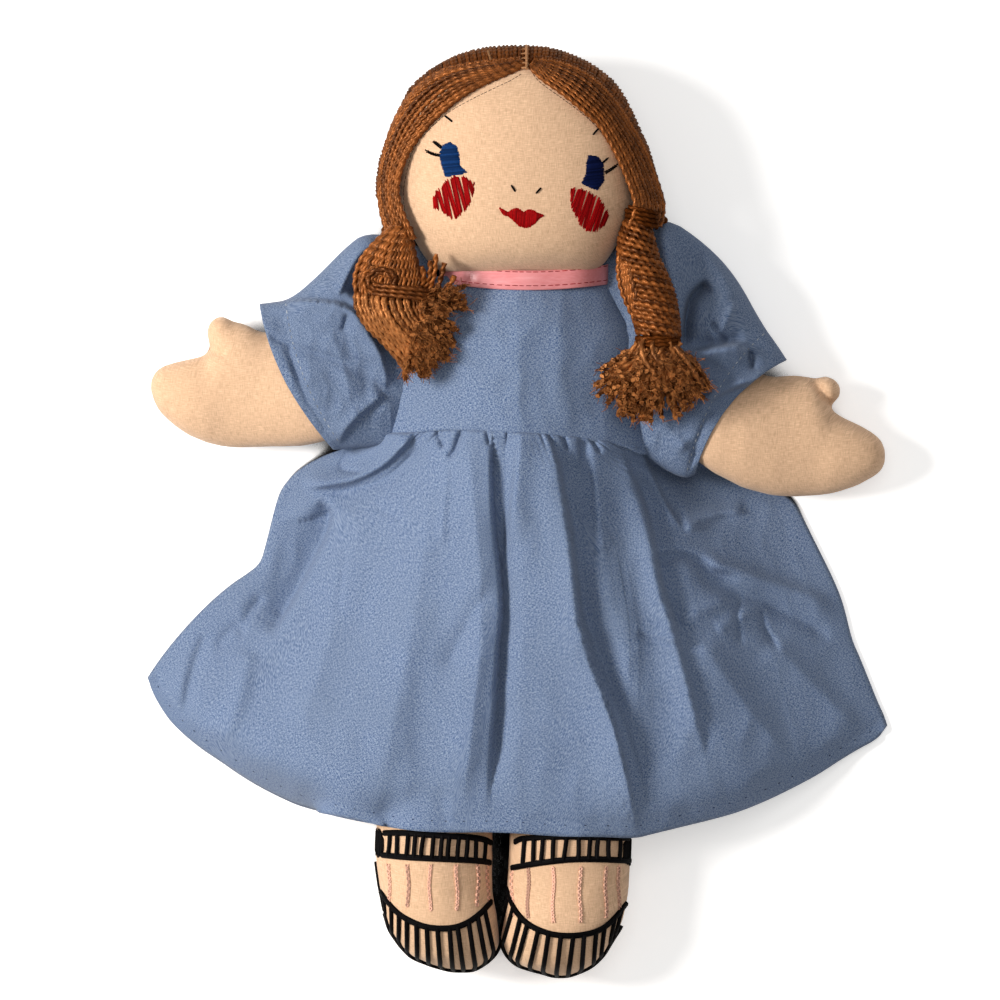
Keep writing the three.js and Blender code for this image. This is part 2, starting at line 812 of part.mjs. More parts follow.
// A closed cloth tube: down the outside, round the hem and up the inside.
function clothTube(rows, columns, pointAt) {
  const positions = [];
  const faces = [];
  for (const drawIn of [0, cloth]) {
    for (let row = 0; row <= rows; row += 1) {
      for (const point of pointAt(row / rows, drawIn)) {
        positions.push(point.x, point.y, point.z);
      }
    }
  }
  const layer = (rows + 1) * columns;
  const at = (inside, row, column) => inside * layer + row * columns + (column % columns);
  const quad = (a, b, c, d) => faces.push(a, b, c, a, c, d);
  for (let column = 0; column < columns; column += 1) {
    const next = column + 1;
    for (let row = 0; row < rows; row += 1) {
      quad(at(0, row, column), at(0, row, next), at(0, row + 1, next), at(0, row + 1, column));
      quad(at(1, row, column), at(1, row + 1, column), at(1, row + 1, next), at(1, row, next));
    }
    quad(at(0, 0, column), at(1, 0, column), at(1, 0, next), at(0, 0, next));
    quad(at(0, rows, column), at(0, rows, next), at(1, rows, next), at(1, rows, column));
  }
  return solid(fromFaces(positions, faces));
}
const skirtRingCount = skirtColumns + skirtBackColumns;
const skirt = clothTube(skirtRows, skirtRingCount, skirtRing);
add('skirt', skirt, chambray, chambrayRoughness);

// Hair: yarn laid over the head and stitched along the parting
// Columns: share of the length, half width and half thickness.
const hairShares = [
  [0.0, 0.9, 0.62],
  [0.1, 0.955, 0.8],
  [0.2, 1.0, 0.93],
  [0.33, 0.98, 0.99],
  [0.45, 0.954, 1.0],
  [0.56, 0.913, 1.0],
  [0.65, 0.843, 0.98],
  [0.745, 0.77, 0.9],
  [0.85, 0.674, 0.75],
  [0.92, 0.52, 0.57],
  [0.975, 0.28, 0.32],
  [1.0, 0.15, 0.12],
];
const hair = headForm(hairShares, hairLength, hairWidth, hairThickness);
// The hairline on each side, from the parting down, as shares of the head's half width and length.
const partingShare = 0.09;
const rightHairlineShares = [
  [partingShare, 0.9],
  [-0.13, 0.84],
  [-0.46, 0.756],
  [-0.7, 0.65],
  [-0.87, 0.52],
  [-0.96, 0.345],
  [-0.92, 0.21],
  [-0.8, 0.05],
];
const leftHairlineShares = [
  [partingShare, 0.9],
  [0.28, 0.83],
  [0.53, 0.71],
  [0.73, 0.595],
  [0.86, 0.46],
  [0.94, 0.26],
  [0.9, 0.19],
  [0.73, 0.03],
];
const beyondShare = 1.4;

function onHead([across, along]) {
  return [headX + (across * headWidth) / 2, headBottomY + along * headLength];
}

const hairShell = loft(hair).subtract(loft(head, gap));
const hairMiddle = headZ + gap / 2;
const wrap = (tie, grow) => {
  const geometry = new THREE.SphereGeometry(tieRadius + grow, tieSides, tieRows);
  geometry.translate(tie.x, tie.y, tie.z);
  return solid(geometry);
};
const ties = [
  { side: 'right', centre: rightTie },
  { side: 'left', centre: leftTie },
];
const tieRoom = ties.map(({ centre }) => wrap(centre, gap + gap));

function frontHair(side, hairline, tie) {
  const edge = hairline.map(onHead);
  const lowest = tie.y + tieRadius + gap;
  const outer = headX + (side * beyondShare * headWidth) / 2;
  const top = headBottomY + beyondShare * headLength;
  const parting = edge[0][0] + (side * gap) / 2;
  edge[0][0] = parting;
  const last = edge[edge.length - 1];
  const points = [...edge, [outer, last[1]], [outer, top], [parting, top]];
  return hairShell
    .intersect(prism(points))
    .intersect(above(hairMiddle))
    .intersect(between(lowest, reach));
}
add('right_front_hair', frontHair(-1, rightHairlineShares, rightTie), yarn, yarnRoughness);
add('left_front_hair', frontHair(1, leftHairlineShares, leftTie), yarn, yarnRoughness);

const hairBottomShare = 0.1;
const hairBottom = headBottomY + hairBottomShare * hairLength;
const nape = barrel((neckRadius + collar + ribbonThickness + gap) * facetAllowance, reach / 2);
add(
  'back_hair',
  hairShell
    .intersect(below(headZ - gap / 2))
    .intersect(between(hairBottom, reach))
    .intersect(aboveFloor)
    .subtract(nape)
    .subtract(tieRoom[0])
    .subtract(tieRoom[1]),
  darkYarn,
  yarnRoughness,
);

// The parting stitches, a narrow strip of thread over the crown
const partingWidth = 1.6;
const partingLowShare = 0.9;
const partingX = headX + (partingShare * headWidth) / 2;
const stitchBlock = box(
  new THREE.Vector3(partingX - partingWidth / 2, headBottomY + partingLowShare * headLength, hairMiddle),
  new THREE.Vector3(partingX + partingWidth / 2, reach, reach),
);
const stitchSkin = loft(hair, gap + thread).subtract(loft(hair, gap));
add('parting_stitches', stitchSkin.intersect(stitchBlock), darkYarn, yarnRoughness);

// Pigtails: a tie at the hair, the plaited yarn, a second tie and the cut ends
// Columns: share of the length, half width, sideways place from the tie and half thickness.
const rightPigtailShares = [
  [0.0, 0.27, 0.0, 0.5],
  [0.3, 0.5, 0.0, 0.85],
  [0.6, 0.7, -0.005, 1.0],
  [1.0, 0.82, -0.005, 1.0],
];
const leftPigtailShares = [
  [0.0, 0.55, -0.05, 0.55],
  [0.12, 0.78, -0.07, 0.8],
  [0.28, 0.93, -0.015, 1.0],
  [0.46, 1.0, 0.09, 1.0],
  [0.66, 0.97, 0.24, 1.0],
  [0.84, 0.89, 0.31, 0.95],
  [1.0, 0.85, 0.315, 0.85],
];
const rightTasselShares = [
  [0.0, 0.98, 0.08, 0.9],
  [0.2, 1.0, 0.12, 1.0],
  [0.4, 0.87, 0.125, 1.0],
  [0.6, 0.65, 0.12, 0.95],
  [0.78, 0.5, 0.16, 0.85],
  [0.9, 0.33, 0.185, 0.65],
  [1.0, 0.14, 0.2, 0.4],
];
const leftTasselShares = [
  [0.0, 0.42, 0.155, 0.8],
  [0.1, 0.6, 0.12, 0.9],
  [0.27, 0.94, 0.084, 1.0],
  [0.45, 1.0, 0.098, 1.0],
  [0.62, 0.93, 0.128, 1.0],
  [0.78, 0.75, 0.137, 0.9],
  [0.9, 0.51, 0.133, 0.7],
  [1.0, 0.2, 0.11, 0.4],
];
const tasselZShare = 0.62;
const bandShares = [
  [0.0, 1.0, 0.0, 1.0],
  [1.0, 1.0, 0.0, 1.0],
];

function hanging(shares, startY, startX, length, width, thickness, startZ, endZ) {
  return {
    axis: 'y',
    way: -1,
    section: 'round',
    stations: shares.map(([along, wide, shift, deep]) => ({
      along: startY - along * length,
      across: startX + shift * width,
      rise: THREE.MathUtils.lerp(startZ, endZ, along),
      width: (wide * width) / 2,
      depth: (deep * thickness) / 2,
    })),
  };
}

const chestRoom = loft(torso, gap + cloth + pigtailClearance);
const headRoom = loft(hair, gap).intersect(between(hairBottom - gap, reach)).add(loft(head, gap));
const dressRoom = [chestRoom, headRoom, ...sleeveBlocks, ...tieRoom];
const hairSets = [
  {
    side: 'right',
    tie: rightTie,
    length: rightPigtailLength,
    shares: rightPigtailShares,
    width: rightTasselWidth,
    tasselLength: rightTasselLength,
    tasselShares: rightTasselShares,
    tasselWidth: rightTasselWidth,
  },
  {
    side: 'left',
    tie: leftTie,
    length: leftPigtailLength,
    shares: leftPigtailShares,
    width: leftPigtailWidth,
    tasselLength: leftTasselLength,
    tasselShares: leftTasselShares,
    tasselWidth: leftTasselWidth,
  },
];
const tasselZ = torsoZ + torsoThickness * tasselZShare - pigtailThickness / 2;

for (const set of hairSets) {
  const { side, tie } = set;
  const startY = tie.y - tieRadius - gap;
  const endY = startY - set.length;
  const tieLow = endY - gap - tasselTieLength;
  const neckX = tie.x + set.shares[set.shares.length - 1][2] * set.width;
  const rope = hanging(
    set.shares, startY, tie.x, set.length, set.width, pigtailThickness, tie.z, tasselZ,
  );
  const ends = hanging(
    set.tasselShares, tieLow - gap, tie.x, set.tasselLength, set.tasselWidth, tasselThickness,
    tasselZ, tasselZ,
  );
  const band = hanging(
    bandShares, endY - gap, neckX, tasselTieLength, tasselTieWidth, tasselTieThickness,
    tasselZ, tasselZ,
  );
  const clear = (form) => dressRoom.reduce((body, room) => body.subtract(room), loft(form));
  add(`${side}_pigtail_tie`, wrap(tie, 0), darkYarn, yarnRoughness);
  add(`${side}_pigtail`, clear(rope), yarn, yarnRoughness);
  add(`${side}_tassel_tie`, clear(band), darkYarn, yarnRoughness);
  add(`${side}_tassel`, clear(ends), yarn, yarnRoughness);
}

// Face, all thread on the muslin
// Outlines as shares of the head's half width and length from the chin.
const faceSkin = loft(head, gap + thread).subtract(loft(head, gap)).intersect(above(headZ));
const faceOutlines = {
  right_eye: [blueFloss, [
    [-0.545, 0.57], [-0.48, 0.54], [-0.47, 0.45], [-0.41, 0.415], [-0.5, 0.4],
    [-0.6, 0.41], [-0.63, 0.46], [-0.62, 0.52],
  ]],
  left_eye: [blueFloss, [
    [0.59, 0.51], [0.67, 0.505], [0.72, 0.47], [0.715, 0.39], [0.67, 0.355],
    [0.54, 0.375], [0.575, 0.42], [0.57, 0.475],
  ]],
  right_brow: [blackFloss, [[-0.585, 0.69], [-0.53, 0.665], [-0.54, 0.66], [-0.6, 0.683]]],
  left_brow: [blackFloss, [[0.59, 0.595], [0.635, 0.635], [0.64, 0.627], [0.605, 0.588]]],
  right_nose_stitch: [blackFloss, [[-0.045, 0.36], [-0.02, 0.337], [-0.03, 0.33], [-0.055, 0.353]]],
  left_nose_stitch: [blackFloss, [[0.2, 0.35], [0.175, 0.327], [0.165, 0.333], [0.19, 0.356]]],
  mouth: [redFloss, [
    [-0.13, 0.255], [-0.06, 0.225], [0.0, 0.25], [0.04, 0.235], [0.11, 0.245], [0.22, 0.22],
    [0.14, 0.185], [0.07, 0.16], [0.0, 0.185], [-0.06, 0.215],
  ]],
};
for (const [name, [colour, outline]] of Object.entries(faceOutlines)) {
  add(name, faceSkin.intersect(prism(outline.map(onHead))), colour, flossRoughness);
}

const cheekWidthShare = 0.42;
const cheekLengthShare = 0.185;
for (const [name, place] of [['right_cheek', [-0.53, 0.29]], ['left_cheek', [0.59, 0.242]]]) {
  const outline = [];
  for (let k = 0; k < cheekPoints; k += 1) {
    const turn = (2 * Math.PI * k) / cheekPoints;
    outline.push(onHead([
      place[0] + (Math.cos(turn) * cheekWidthShare) / 2,
      place[1] + (Math.sin(turn) * cheekLengthShare) / 2,
    ]));
  }
  add(name, faceSkin.intersect(prism(outline)), redFloss, flossRoughness);
}

// Shoes, stitched on the fronts of the feet
// The strap's edges and the toe cap's curve, as shares of the leg's half width and of its length.
const strapShares = [
  [-0.98, 0.63, 0.68],
  [-0.5, 0.63, 0.695],
  [0.0, 0.635, 0.7],
  [0.5, 0.635, 0.7],
  [0.98, 0.63, 0.69],
];
const vampShares = [
  [-1.0, 0.79],
  [-0.75, 0.85],
  [-0.4, 0.89],
  [0.0, 0.905],
  [0.4, 0.89],
  [0.75, 0.85],
  [1.0, 0.79],
];
const footShiftShare = 0.21;
const shoeEdgeShare = 0.14;
const beyondFootShare = 1.1;
for (const [side, form, length, centre] of [
  ['right', rightLeg, rightLegLength, -legCentre - footShiftShare * legWidth],
  ['left', leftLeg, leftLegLength, legCentre - (footShiftShare * legWidth) / 4],
]) {
  const onFoot = (across, along) => [centre + (across * legWidth) / 2, legRootY - along * length];
  const footSkin = loft(form, gap + thread)
    .subtract(loft(form, gap))
    .intersect(above(legRestZ + shoeEdgeShare * legThickness));
  const upper = strapShares.map(([across, high]) => onFoot(across, high));
  const lower = strapShares.map(([across, , low]) => onFoot(across, low)).reverse();
  add(`${side}_shoe_strap`, footSkin.intersect(prism([...upper, ...lower])), blackFloss, shoeRoughness);
  const cap = vampShares.map(([across, along]) => onFoot(across, along));
  const past = [onFoot(beyondShare, beyondFootShare), onFoot(-beyondShare, beyondFootShare)];
  add(`${side}_shoe_toe`, footSkin.intersect(prism([...cap, ...past])), blackFloss, shoeRoughness);
}

export default doll;
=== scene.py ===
# A hand-sewn rag doll in a chambray dress, lying on its back.
# +X is the doll's left, +Y its head and +Z the way its chest faces; the floor is z = 0.
import math
import random

import bmesh
import bpy
import numpy as np
from mathutils import Matrix, Vector, noise
from mathutils.bvhtree import BVHTree


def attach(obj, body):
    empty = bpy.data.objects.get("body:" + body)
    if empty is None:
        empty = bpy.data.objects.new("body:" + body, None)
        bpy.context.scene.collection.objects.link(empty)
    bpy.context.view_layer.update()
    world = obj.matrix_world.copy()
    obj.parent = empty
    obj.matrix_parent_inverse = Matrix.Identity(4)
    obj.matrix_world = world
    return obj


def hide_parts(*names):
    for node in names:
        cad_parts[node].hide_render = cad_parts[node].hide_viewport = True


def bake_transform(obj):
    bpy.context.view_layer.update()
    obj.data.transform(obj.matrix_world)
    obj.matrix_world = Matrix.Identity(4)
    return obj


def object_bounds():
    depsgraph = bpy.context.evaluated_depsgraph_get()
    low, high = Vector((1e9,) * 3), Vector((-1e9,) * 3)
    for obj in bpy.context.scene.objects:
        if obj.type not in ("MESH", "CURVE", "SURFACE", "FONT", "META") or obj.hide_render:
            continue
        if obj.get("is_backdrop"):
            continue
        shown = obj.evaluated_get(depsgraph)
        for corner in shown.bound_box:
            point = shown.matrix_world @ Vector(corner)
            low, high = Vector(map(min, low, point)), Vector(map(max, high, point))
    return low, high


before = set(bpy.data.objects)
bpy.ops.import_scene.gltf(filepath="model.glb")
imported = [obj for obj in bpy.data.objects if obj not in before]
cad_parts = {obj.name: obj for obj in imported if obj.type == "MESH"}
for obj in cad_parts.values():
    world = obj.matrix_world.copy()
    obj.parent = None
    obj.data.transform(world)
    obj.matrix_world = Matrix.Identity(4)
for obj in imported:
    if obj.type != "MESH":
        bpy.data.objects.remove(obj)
cad_low, cad_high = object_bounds()

# Camera, straight above the doll, with a long lens.
# The doll's front is laid out on a grid of small squares, counted from the top left corner of the
# camera's view, so that outlines and stitches can be placed on it.
square = 0.375e-3
grid_x, grid_y = 518, 511
view_height = 5.0
mid_height = 0.03


def spot(x, y):
    return (x - grid_x) * square, (grid_y - y) * square


scene = bpy.context.scene
scene.view_settings.view_transform = "Standard"
camera = bpy.data.objects.new("camera", bpy.data.cameras.new("camera"))
scene.collection.objects.link(camera)
scene.camera = camera
camera.location = (*spot(500, 500), view_height + mid_height)
camera.data.sensor_width = 36
camera.data.lens = 36 * view_height / (1000 * square)
camera.data.clip_end = 20

# Floor and lamps: a white table top under a large soft lamp on the doll's right.
# The camera sees the table brighter than it is, and its shadow stays; in narrow gaps beside the doll the table also
# gets painted shade.
def shader(name):
    material = bpy.data.materials.new(name)
    material.use_nodes = True
    tree = material.node_tree
    return material, tree, tree.nodes["Principled BSDF"]


def wire(tree, source, target):
    tree.links.new(source, target)


floor_size = 6.0
floor_mesh = bpy.data.meshes.new("floor")
bm = bmesh.new()
bmesh.ops.create_grid(bm, x_segments=1, y_segments=1, size=floor_size / 2)
bm.to_mesh(floor_mesh)
bm.free()
floor = bpy.data.objects.new("floor", floor_mesh)
scene.collection.objects.link(floor)
floor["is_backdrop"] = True
table, tree, surface = shader("table")
surface.inputs["Roughness"].default_value = 0.9
surface.inputs["Specular IOR Level"].default_value = 0.1
surface.inputs["Emission Color"].default_value = (1, 1, 1, 1)
path = tree.nodes.new("ShaderNodeLightPath")
glow = tree.nodes.new("ShaderNodeMath")
glow.operation = "MULTIPLY"
glow.inputs[1].default_value = 0.45
wire(tree, path.outputs["Is Camera Ray"], glow.inputs[0])
# Painted shade: where ambient occlusion finds the doll close, as between the legs, the table's colour turns near black
# and its glow goes out.
painted_shade_occlusion = tree.nodes.new("ShaderNodeAmbientOcclusion")
painted_shade_occlusion.samples = 16
painted_shade_occlusion.inputs["Distance"].default_value = 0.045
opening = tree.nodes.new("ShaderNodeMapRange")
opening.interpolation_type = "SMOOTHSTEP"
opening.inputs["From Min"].default_value = 0.27
opening.inputs["From Max"].default_value = 0.42
wire(tree, painted_shade_occlusion.outputs["AO"], opening.inputs["Value"])
shaded = tree.nodes.new("ShaderNodeMix")
shaded.data_type = "RGBA"
deep, open_colour = [socket for socket in shaded.inputs if socket.type == "RGBA"]
deep.default_value = (0.006, 0.005, 0.005, 1)
open_colour.default_value = (0.9, 0.9, 0.9, 1)
wire(tree, opening.outputs["Result"], shaded.inputs["Factor"])
wire(tree, [socket for socket in shaded.outputs if socket.type == "RGBA"][0], surface.inputs["Base Color"])
lit = tree.nodes.new("ShaderNodeMath")
lit.operation = "MULTIPLY"
wire(tree, glow.outputs[0], lit.inputs[0])
wire(tree, opening.outputs["Result"], lit.inputs[1])
wire(tree, lit.outputs[0], surface.inputs["Emission Strength"])
floor.data.materials.append(table)

world = bpy.data.worlds.new("room")
scene.world = world
world.use_nodes = True
room = world.node_tree.nodes["Background"]
room.inputs["Color"].default_value = (1, 0.985, 0.96, 1)
room.inputs["Strength"].default_value = 0.31


def lamp(name, place, size, power, colour):
    data = bpy.data.lights.new(name, "AREA")
    data.shape = "DISK"
    data.size = size
    data.energy = power
    data.color = colour
    made = bpy.data.objects.new(name, data)
    scene.collection.objects.link(made)
    made.location = place
    made.rotation_euler = (-Vector(place)).to_track_quat("-Z", "Y").to_euler()
    return made


lamp("window", (-1.4, 0.2, 1.25), 0.6, 41, (1, 0.97, 0.93))
lamp("ceiling", (0.1, 0.4, 2.2), 1.2, 10, (1, 0.98, 0.96))

# Stuffed body: natural muslin, sewn from two flat pieces and filled with loose fibre.
# Each part is drawn as rings along its length; its rings are given in millimetres as
# (place along, place across, height, half width, half thickness).
mm = 0.001


def woven(name, warp, weft, run=0.1):
    """A plain weave with slubs: one colour of thread each way, and a height for the bump."""
    group = bpy.data.node_groups.new(name, "ShaderNodeTree")
    face = group.interface
    face.new_socket("Vector", in_out="INPUT", socket_type="NodeSocketVector")
    face.new_socket("Threads", in_out="INPUT", socket_type="NodeSocketFloat")
    face.new_socket("Slub", in_out="INPUT", socket_type="NodeSocketFloat")
    face.new_socket("Color", in_out="OUTPUT", socket_type="NodeSocketColor")
    face.new_socket("Height", in_out="OUTPUT", socket_type="NodeSocketFloat")
    add = group.nodes.new
    given, made = add("NodeGroupInput"), add("NodeGroupOutput")

    def maths(operation, a, b=None):
        node = add("ShaderNodeMath")
        node.operation = operation
        for socket, value in zip(node.inputs, (a, b)):
            if value is None:
                continue
            if isinstance(value, (int, float)):
                socket.default_value = value
            else:
                group.links.new(value, socket)
        return node.outputs[0]

    scaled = add("ShaderNodeVectorMath")
    scaled.operation = "SCALE"
    group.links.new(given.outputs["Vector"], scaled.inputs[0])
    group.links.new(given.outputs["Threads"], scaled.inputs["Scale"])
    def slubs(stretch, seed):
        mapping = add("ShaderNodeMapping")
        mapping.inputs["Scale"].default_value = stretch
        mapping.inputs["Location"].default_value = (seed, seed, 0)
        group.links.new(scaled.outputs[0], mapping.inputs[0])
        cloud = add("ShaderNodeTexNoise")
        cloud.inputs["Scale"].default_value = 1.0
        cloud.inputs["Detail"].default_value = 2.0
        group.links.new(mapping.outputs[0], cloud.inputs["Vector"])
        return cloud.outputs["Fac"]

    long_way = slubs((1.1, run, 0.2), 3.1)
    cross_way = slubs((run, 1.1, 0.2), 7.7)
    both = maths("ADD", maths("ADD", long_way, cross_way), -1.0)
    over = maths("MINIMUM", maths("MAXIMUM", maths("ADD", maths("MULTIPLY", both, 2.6), 0.5), 0), 1)

    def toned(colour, cloud):
        ramp = add("ShaderNodeMapRange")
        ramp.inputs["From Min"].default_value = 0.3
        ramp.inputs["From Max"].default_value = 0.7
        group.links.new(cloud, ramp.inputs["Value"])
        dark = tuple(c * 0.82 for c in colour[:3]) + (1,)
        light = tuple(min(1, c * 1.1) for c in colour[:3]) + (1,)
        mix = add("ShaderNodeMix")
        mix.data_type = "RGBA"
        mix.inputs["A"].default_value = dark
        mix.inputs["B"].default_value = light
        group.links.new(ramp.outputs["Result"], mix.inputs["Factor"])
        return mix.outputs["Result"]

    mix = add("ShaderNodeMix")
    mix.data_type = "RGBA"
    group.links.new(over, mix.inputs["Factor"])
    for socket, threads in (("A", toned(warp, long_way)), ("B", toned(weft, cross_way))):
        socket_in = [s for s in mix.inputs if s.name == socket and s.type == "RGBA"][0]
        group.links.new(threads, socket_in)
    result = [s for s in mix.outputs if s.type == "RGBA"][0]
    group.links.new(result, made.inputs["Color"])
    slub = maths("MULTIPLY", maths("ADD", long_way, cross_way), given.outputs["Slub"])
    group.links.new(maths("ADD", maths("MAXIMUM", long_way, cross_way), slub), made.inputs["Height"])
    return group


def fibre(tree, vector, scale, detail=3.0):
    cloud = tree.nodes.new("ShaderNodeTexNoise")
    cloud.inputs["Scale"].default_value = scale
    cloud.inputs["Detail"].default_value = detail
    wire(tree, vector, cloud.inputs["Vector"])
    return cloud.outputs["Fac"]


def blended(tree, mask, first, second):
    """Mixes two colours, each a value or a socket, by a mask."""
    mix = tree.nodes.new("ShaderNodeMix")
    mix.data_type = "RGBA"
    inputs = [s for s in mix.inputs if s.type == "RGBA"]
    for socket, colour in zip(inputs, (first, second)):
        if isinstance(colour, tuple):
            socket.default_value = (*colour, 1)
        else:
            wire(tree, colour, socket)
    wire(tree, mask, mix.inputs["Factor"])
    return [s for s in mix.outputs if s.type == "RGBA"][0]


def ranged(tree, value, low, high, start, end):
    ramp = tree.nodes.new("ShaderNodeMapRange")
    for name, number in zip(("From Min", "From Max", "To Min", "To Max"), (low, high, start, end)):
        ramp.inputs[name].default_value = number
    wire(tree, value, ramp.inputs["Value"])
    return ramp.outputs["Result"]


def bumped(tree, height, surface, strength, distance):
    bump = tree.nodes.new("ShaderNodeBump")
    bump.inputs["Strength"].default_value = strength
    bump.inputs["Distance"].default_value = distance
    wire(tree, height, bump.inputs["Height"])
    wire(tree, bump.outputs["Normal"], surface.inputs["Normal"])


def placed(node_group, tree, vector, threads, slub):
    weave = tree.nodes.new("ShaderNodeGroup")
    weave.node_tree = node_group
    wire(tree, vector, weave.inputs["Vector"])
    weave.inputs["Threads"].default_value = threads
    weave.inputs["Slub"].default_value = slub
    return weave


def slanted(tree):
    """The piece's own coordinates, leant so that the weave doesn't stretch on its steep sides."""
    own = tree.nodes.new("ShaderNodeTexCoord").outputs["Object"]
    parts = tree.nodes.new("ShaderNodeSeparateXYZ")
    wire(tree, own, parts.inputs[0])
    joined = tree.nodes.new("ShaderNodeCombineXYZ")
    for axis in (0, 1):
        leant = tree.nodes.new("ShaderNodeMath")
        leant.operation = "MULTIPLY_ADD"
        wire(tree, parts.outputs[2], leant.inputs[0])
        leant.inputs[1].default_value = 0.4
        wire(tree, parts.outputs[axis], leant.inputs[2])
        wire(tree, leant.outputs[0], joined.inputs[axis])
    return own, joined.outputs[0]


muslin_weave = woven("muslin_weave", (0.65, 0.41, 0.25), (0.75, 0.50, 0.32))


def muslin_shader(name, worn):
    """Natural muslin; worn is how much darker and browner its stains are."""
    material, tree, surface = shader(name)
    own, flat = slanted(tree)
    weave = placed(muslin_weave, tree, flat, 3500, 0.5)
    stain = ranged(tree, fibre(tree, own, 28), 0.42, 0.72, 0, worn)
    colour = blended(tree, stain, weave.outputs["Color"], (0.56, 0.36, 0.22))
    wire(tree, colour, surface.inputs["Base Color"])
    wire(tree, ranged(tree, fibre(tree, own, 900), 0.3, 0.7, 0.78, 0.95), surface.inputs["Roughness"])
    surface.inputs["Specular IOR Level"].default_value = 0.25
    surface.inputs["Sheen Weight"].default_value = 0.15
    surface.inputs["Sheen Roughness"].default_value = 0.5
    bumped(tree, weave.outputs["Height"], surface, 0.25, 0.0003)
    return material


muslin = muslin_shader("muslin", 0.12)
# Muslin for the legs: the same cloth with stronger, darker and browner blotches, so the legs are darker overall.
darker_leg_muslin = muslin_shader("darker_leg_muslin", 0.42)


def wrapped(columns, rows, place):
    """A skin bent from a flat grid: place(u, v) gives each point, and its two long edges meet."""
    bm = bmesh.new()
    bmesh.ops.create_grid(bm, x_segments=columns, y_segments=rows, size=0.5)
    for vert in bm.verts:
        vert.co = place(vert.co.x + 0.5, vert.co.y + 0.5)
    bmesh.ops.remove_doubles(bm, verts=bm.verts, dist=1e-6)
    return bm


def finished(name, bm, material):
    """The bmesh as a piece at the origin, with its faces outwards and its holes closed."""
    bmesh.ops.recalc_face_normals(bm, faces=bm.faces)
    mesh = bpy.data.meshes.new(name)
    bm.to_mesh(mesh)
    bm.free()
    piece = bpy.data.objects.new(name, mesh)
    scene.collection.objects.link(piece)
    mesh.materials.append(material)
    mesh.shade_smooth()
    return piece


def settled(piece):
    """The piece with its modifiers made part of its mesh."""
    bpy.context.view_layer.update()
    shaped = piece.evaluated_get(bpy.context.evaluated_depsgraph_get())
    mesh = bpy.data.meshes.new_from_object(shaped)
    piece.modifiers.clear()
    piece.data = mesh
    mesh.shade_smooth()
    return piece


def stuffed(name, axis, rings, lump, seed, columns=56, rows=64, corner=2.0, extra=(), dents=()):
    """A stuffed limb: rings along an axis, joined, remeshed and made a little lumpy."""
    table = np.array(rings, float) * mm
    start, end = table[0, 0], table[-1, 0]
    order = np.argsort(table[:, 0])
    spread = table[order]

    def place(u, v):
        eased = (1 - math.cos(math.pi * v)) / 2
        along = start + (end - start) * eased
        across, rise, half, deep = (np.interp(along, spread[:, 0], spread[:, k]) for k in (1, 2, 3, 4))
        turn = 2 * math.pi * u
        side, up = math.cos(turn), math.sin(turn)
        side = math.copysign(abs(side) ** (2 / corner), side)
        up = math.copysign(abs(up) ** (2 / corner), up)
        point = Vector((across + half * side, along, rise + deep * up))
        return point if axis == "y" else Vector((point.y, point.x, point.z))

    bm = wrapped(columns, rows, place)
    bmesh.ops.holes_fill(bm, edges=bm.edges, sides=columns + 2)
    for shape in extra:
        lobe = bmesh.ops.create_icosphere(bm, subdivisions=3, radius=1)["verts"]
        centre, sizes, turn = shape
        move = Matrix.Translation(Vector(centre) * mm) @ Matrix.Rotation(math.radians(turn), 4, "Z")
        bmesh.ops.transform(bm, verts=lobe, matrix=move @ Matrix.Diagonal((*(s * mm for s in sizes), 1)))
    piece = finished(name, bm, muslin)
    remesh = piece.modifiers.new("remesh", "REMESH")
    remesh.mode = "VOXEL"
    remesh.voxel_size = 0.0013
    soften = piece.modifiers.new("soften", "SMOOTH")
    soften.factor = 0.6
    soften.iterations = 8
    settled(piece)
    mesh = piece.data
    normals = [vert.normal.copy() for vert in mesh.vertices]
    moved = []
    for vert, normal in zip(mesh.vertices, normals):
        bump = noise.noise(vert.co * 60 + Vector((seed, 0, 0))) + 0.5 * noise.noise(vert.co * 160)
        point = vert.co + normal * lump * bump
        for first, last, depth, width in dents:
            first, ahead = Vector(first), Vector(last) - Vector(first)
            share = min(1, max(0, (point.xy - first).dot(ahead) / ahead.length_squared))
            away = (point.xy - first - ahead * share).length / width
            if point.z > 0.014:
                point.z -= depth * math.exp(-away ** 2)
        moved += (point.x, point.y, max(point.z, 0.0002))
    mesh.vertices.foreach_set("co", moved)
    mesh.update()
    return piece


# Torso, hidden by the dress: a muslin cushion with a neck stub that the head sits on.
torso_length, torso_width, torso_deep = 121, 94.6, 48
hip_y, torso_z = -33, 24.8
torso_shares = [
    (0.0, 0.8, 0.02), (0.04, 0.81, 0.19), (0.1, 0.82, 0.39), (0.2, 0.84, 0.68), (0.3, 0.85, 0.85),
    (0.42, 0.87, 0.91), (0.52, 0.93, 0.95), (0.62, 0.98, 0.98), (0.75, 0.98, 0.95),
    (0.85, 0.92, 0.88), (0.92, 0.78, 0.76), (0.97, 0.62, 0.64), (1.06, 0.56, 0.52), (1.11, 0.5, 0.3),
]
torso_rings = [
    (hip_y + a * torso_length, 0, torso_z, w * torso_width / 2, d * torso_deep / 2)
    for a, w, d in torso_shares
]
torso = stuffed("torso", "y", torso_rings, 0.0002, 1, corner=1.5)
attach(torso, "torso")
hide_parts("torso_cover", "torso_stuffing")

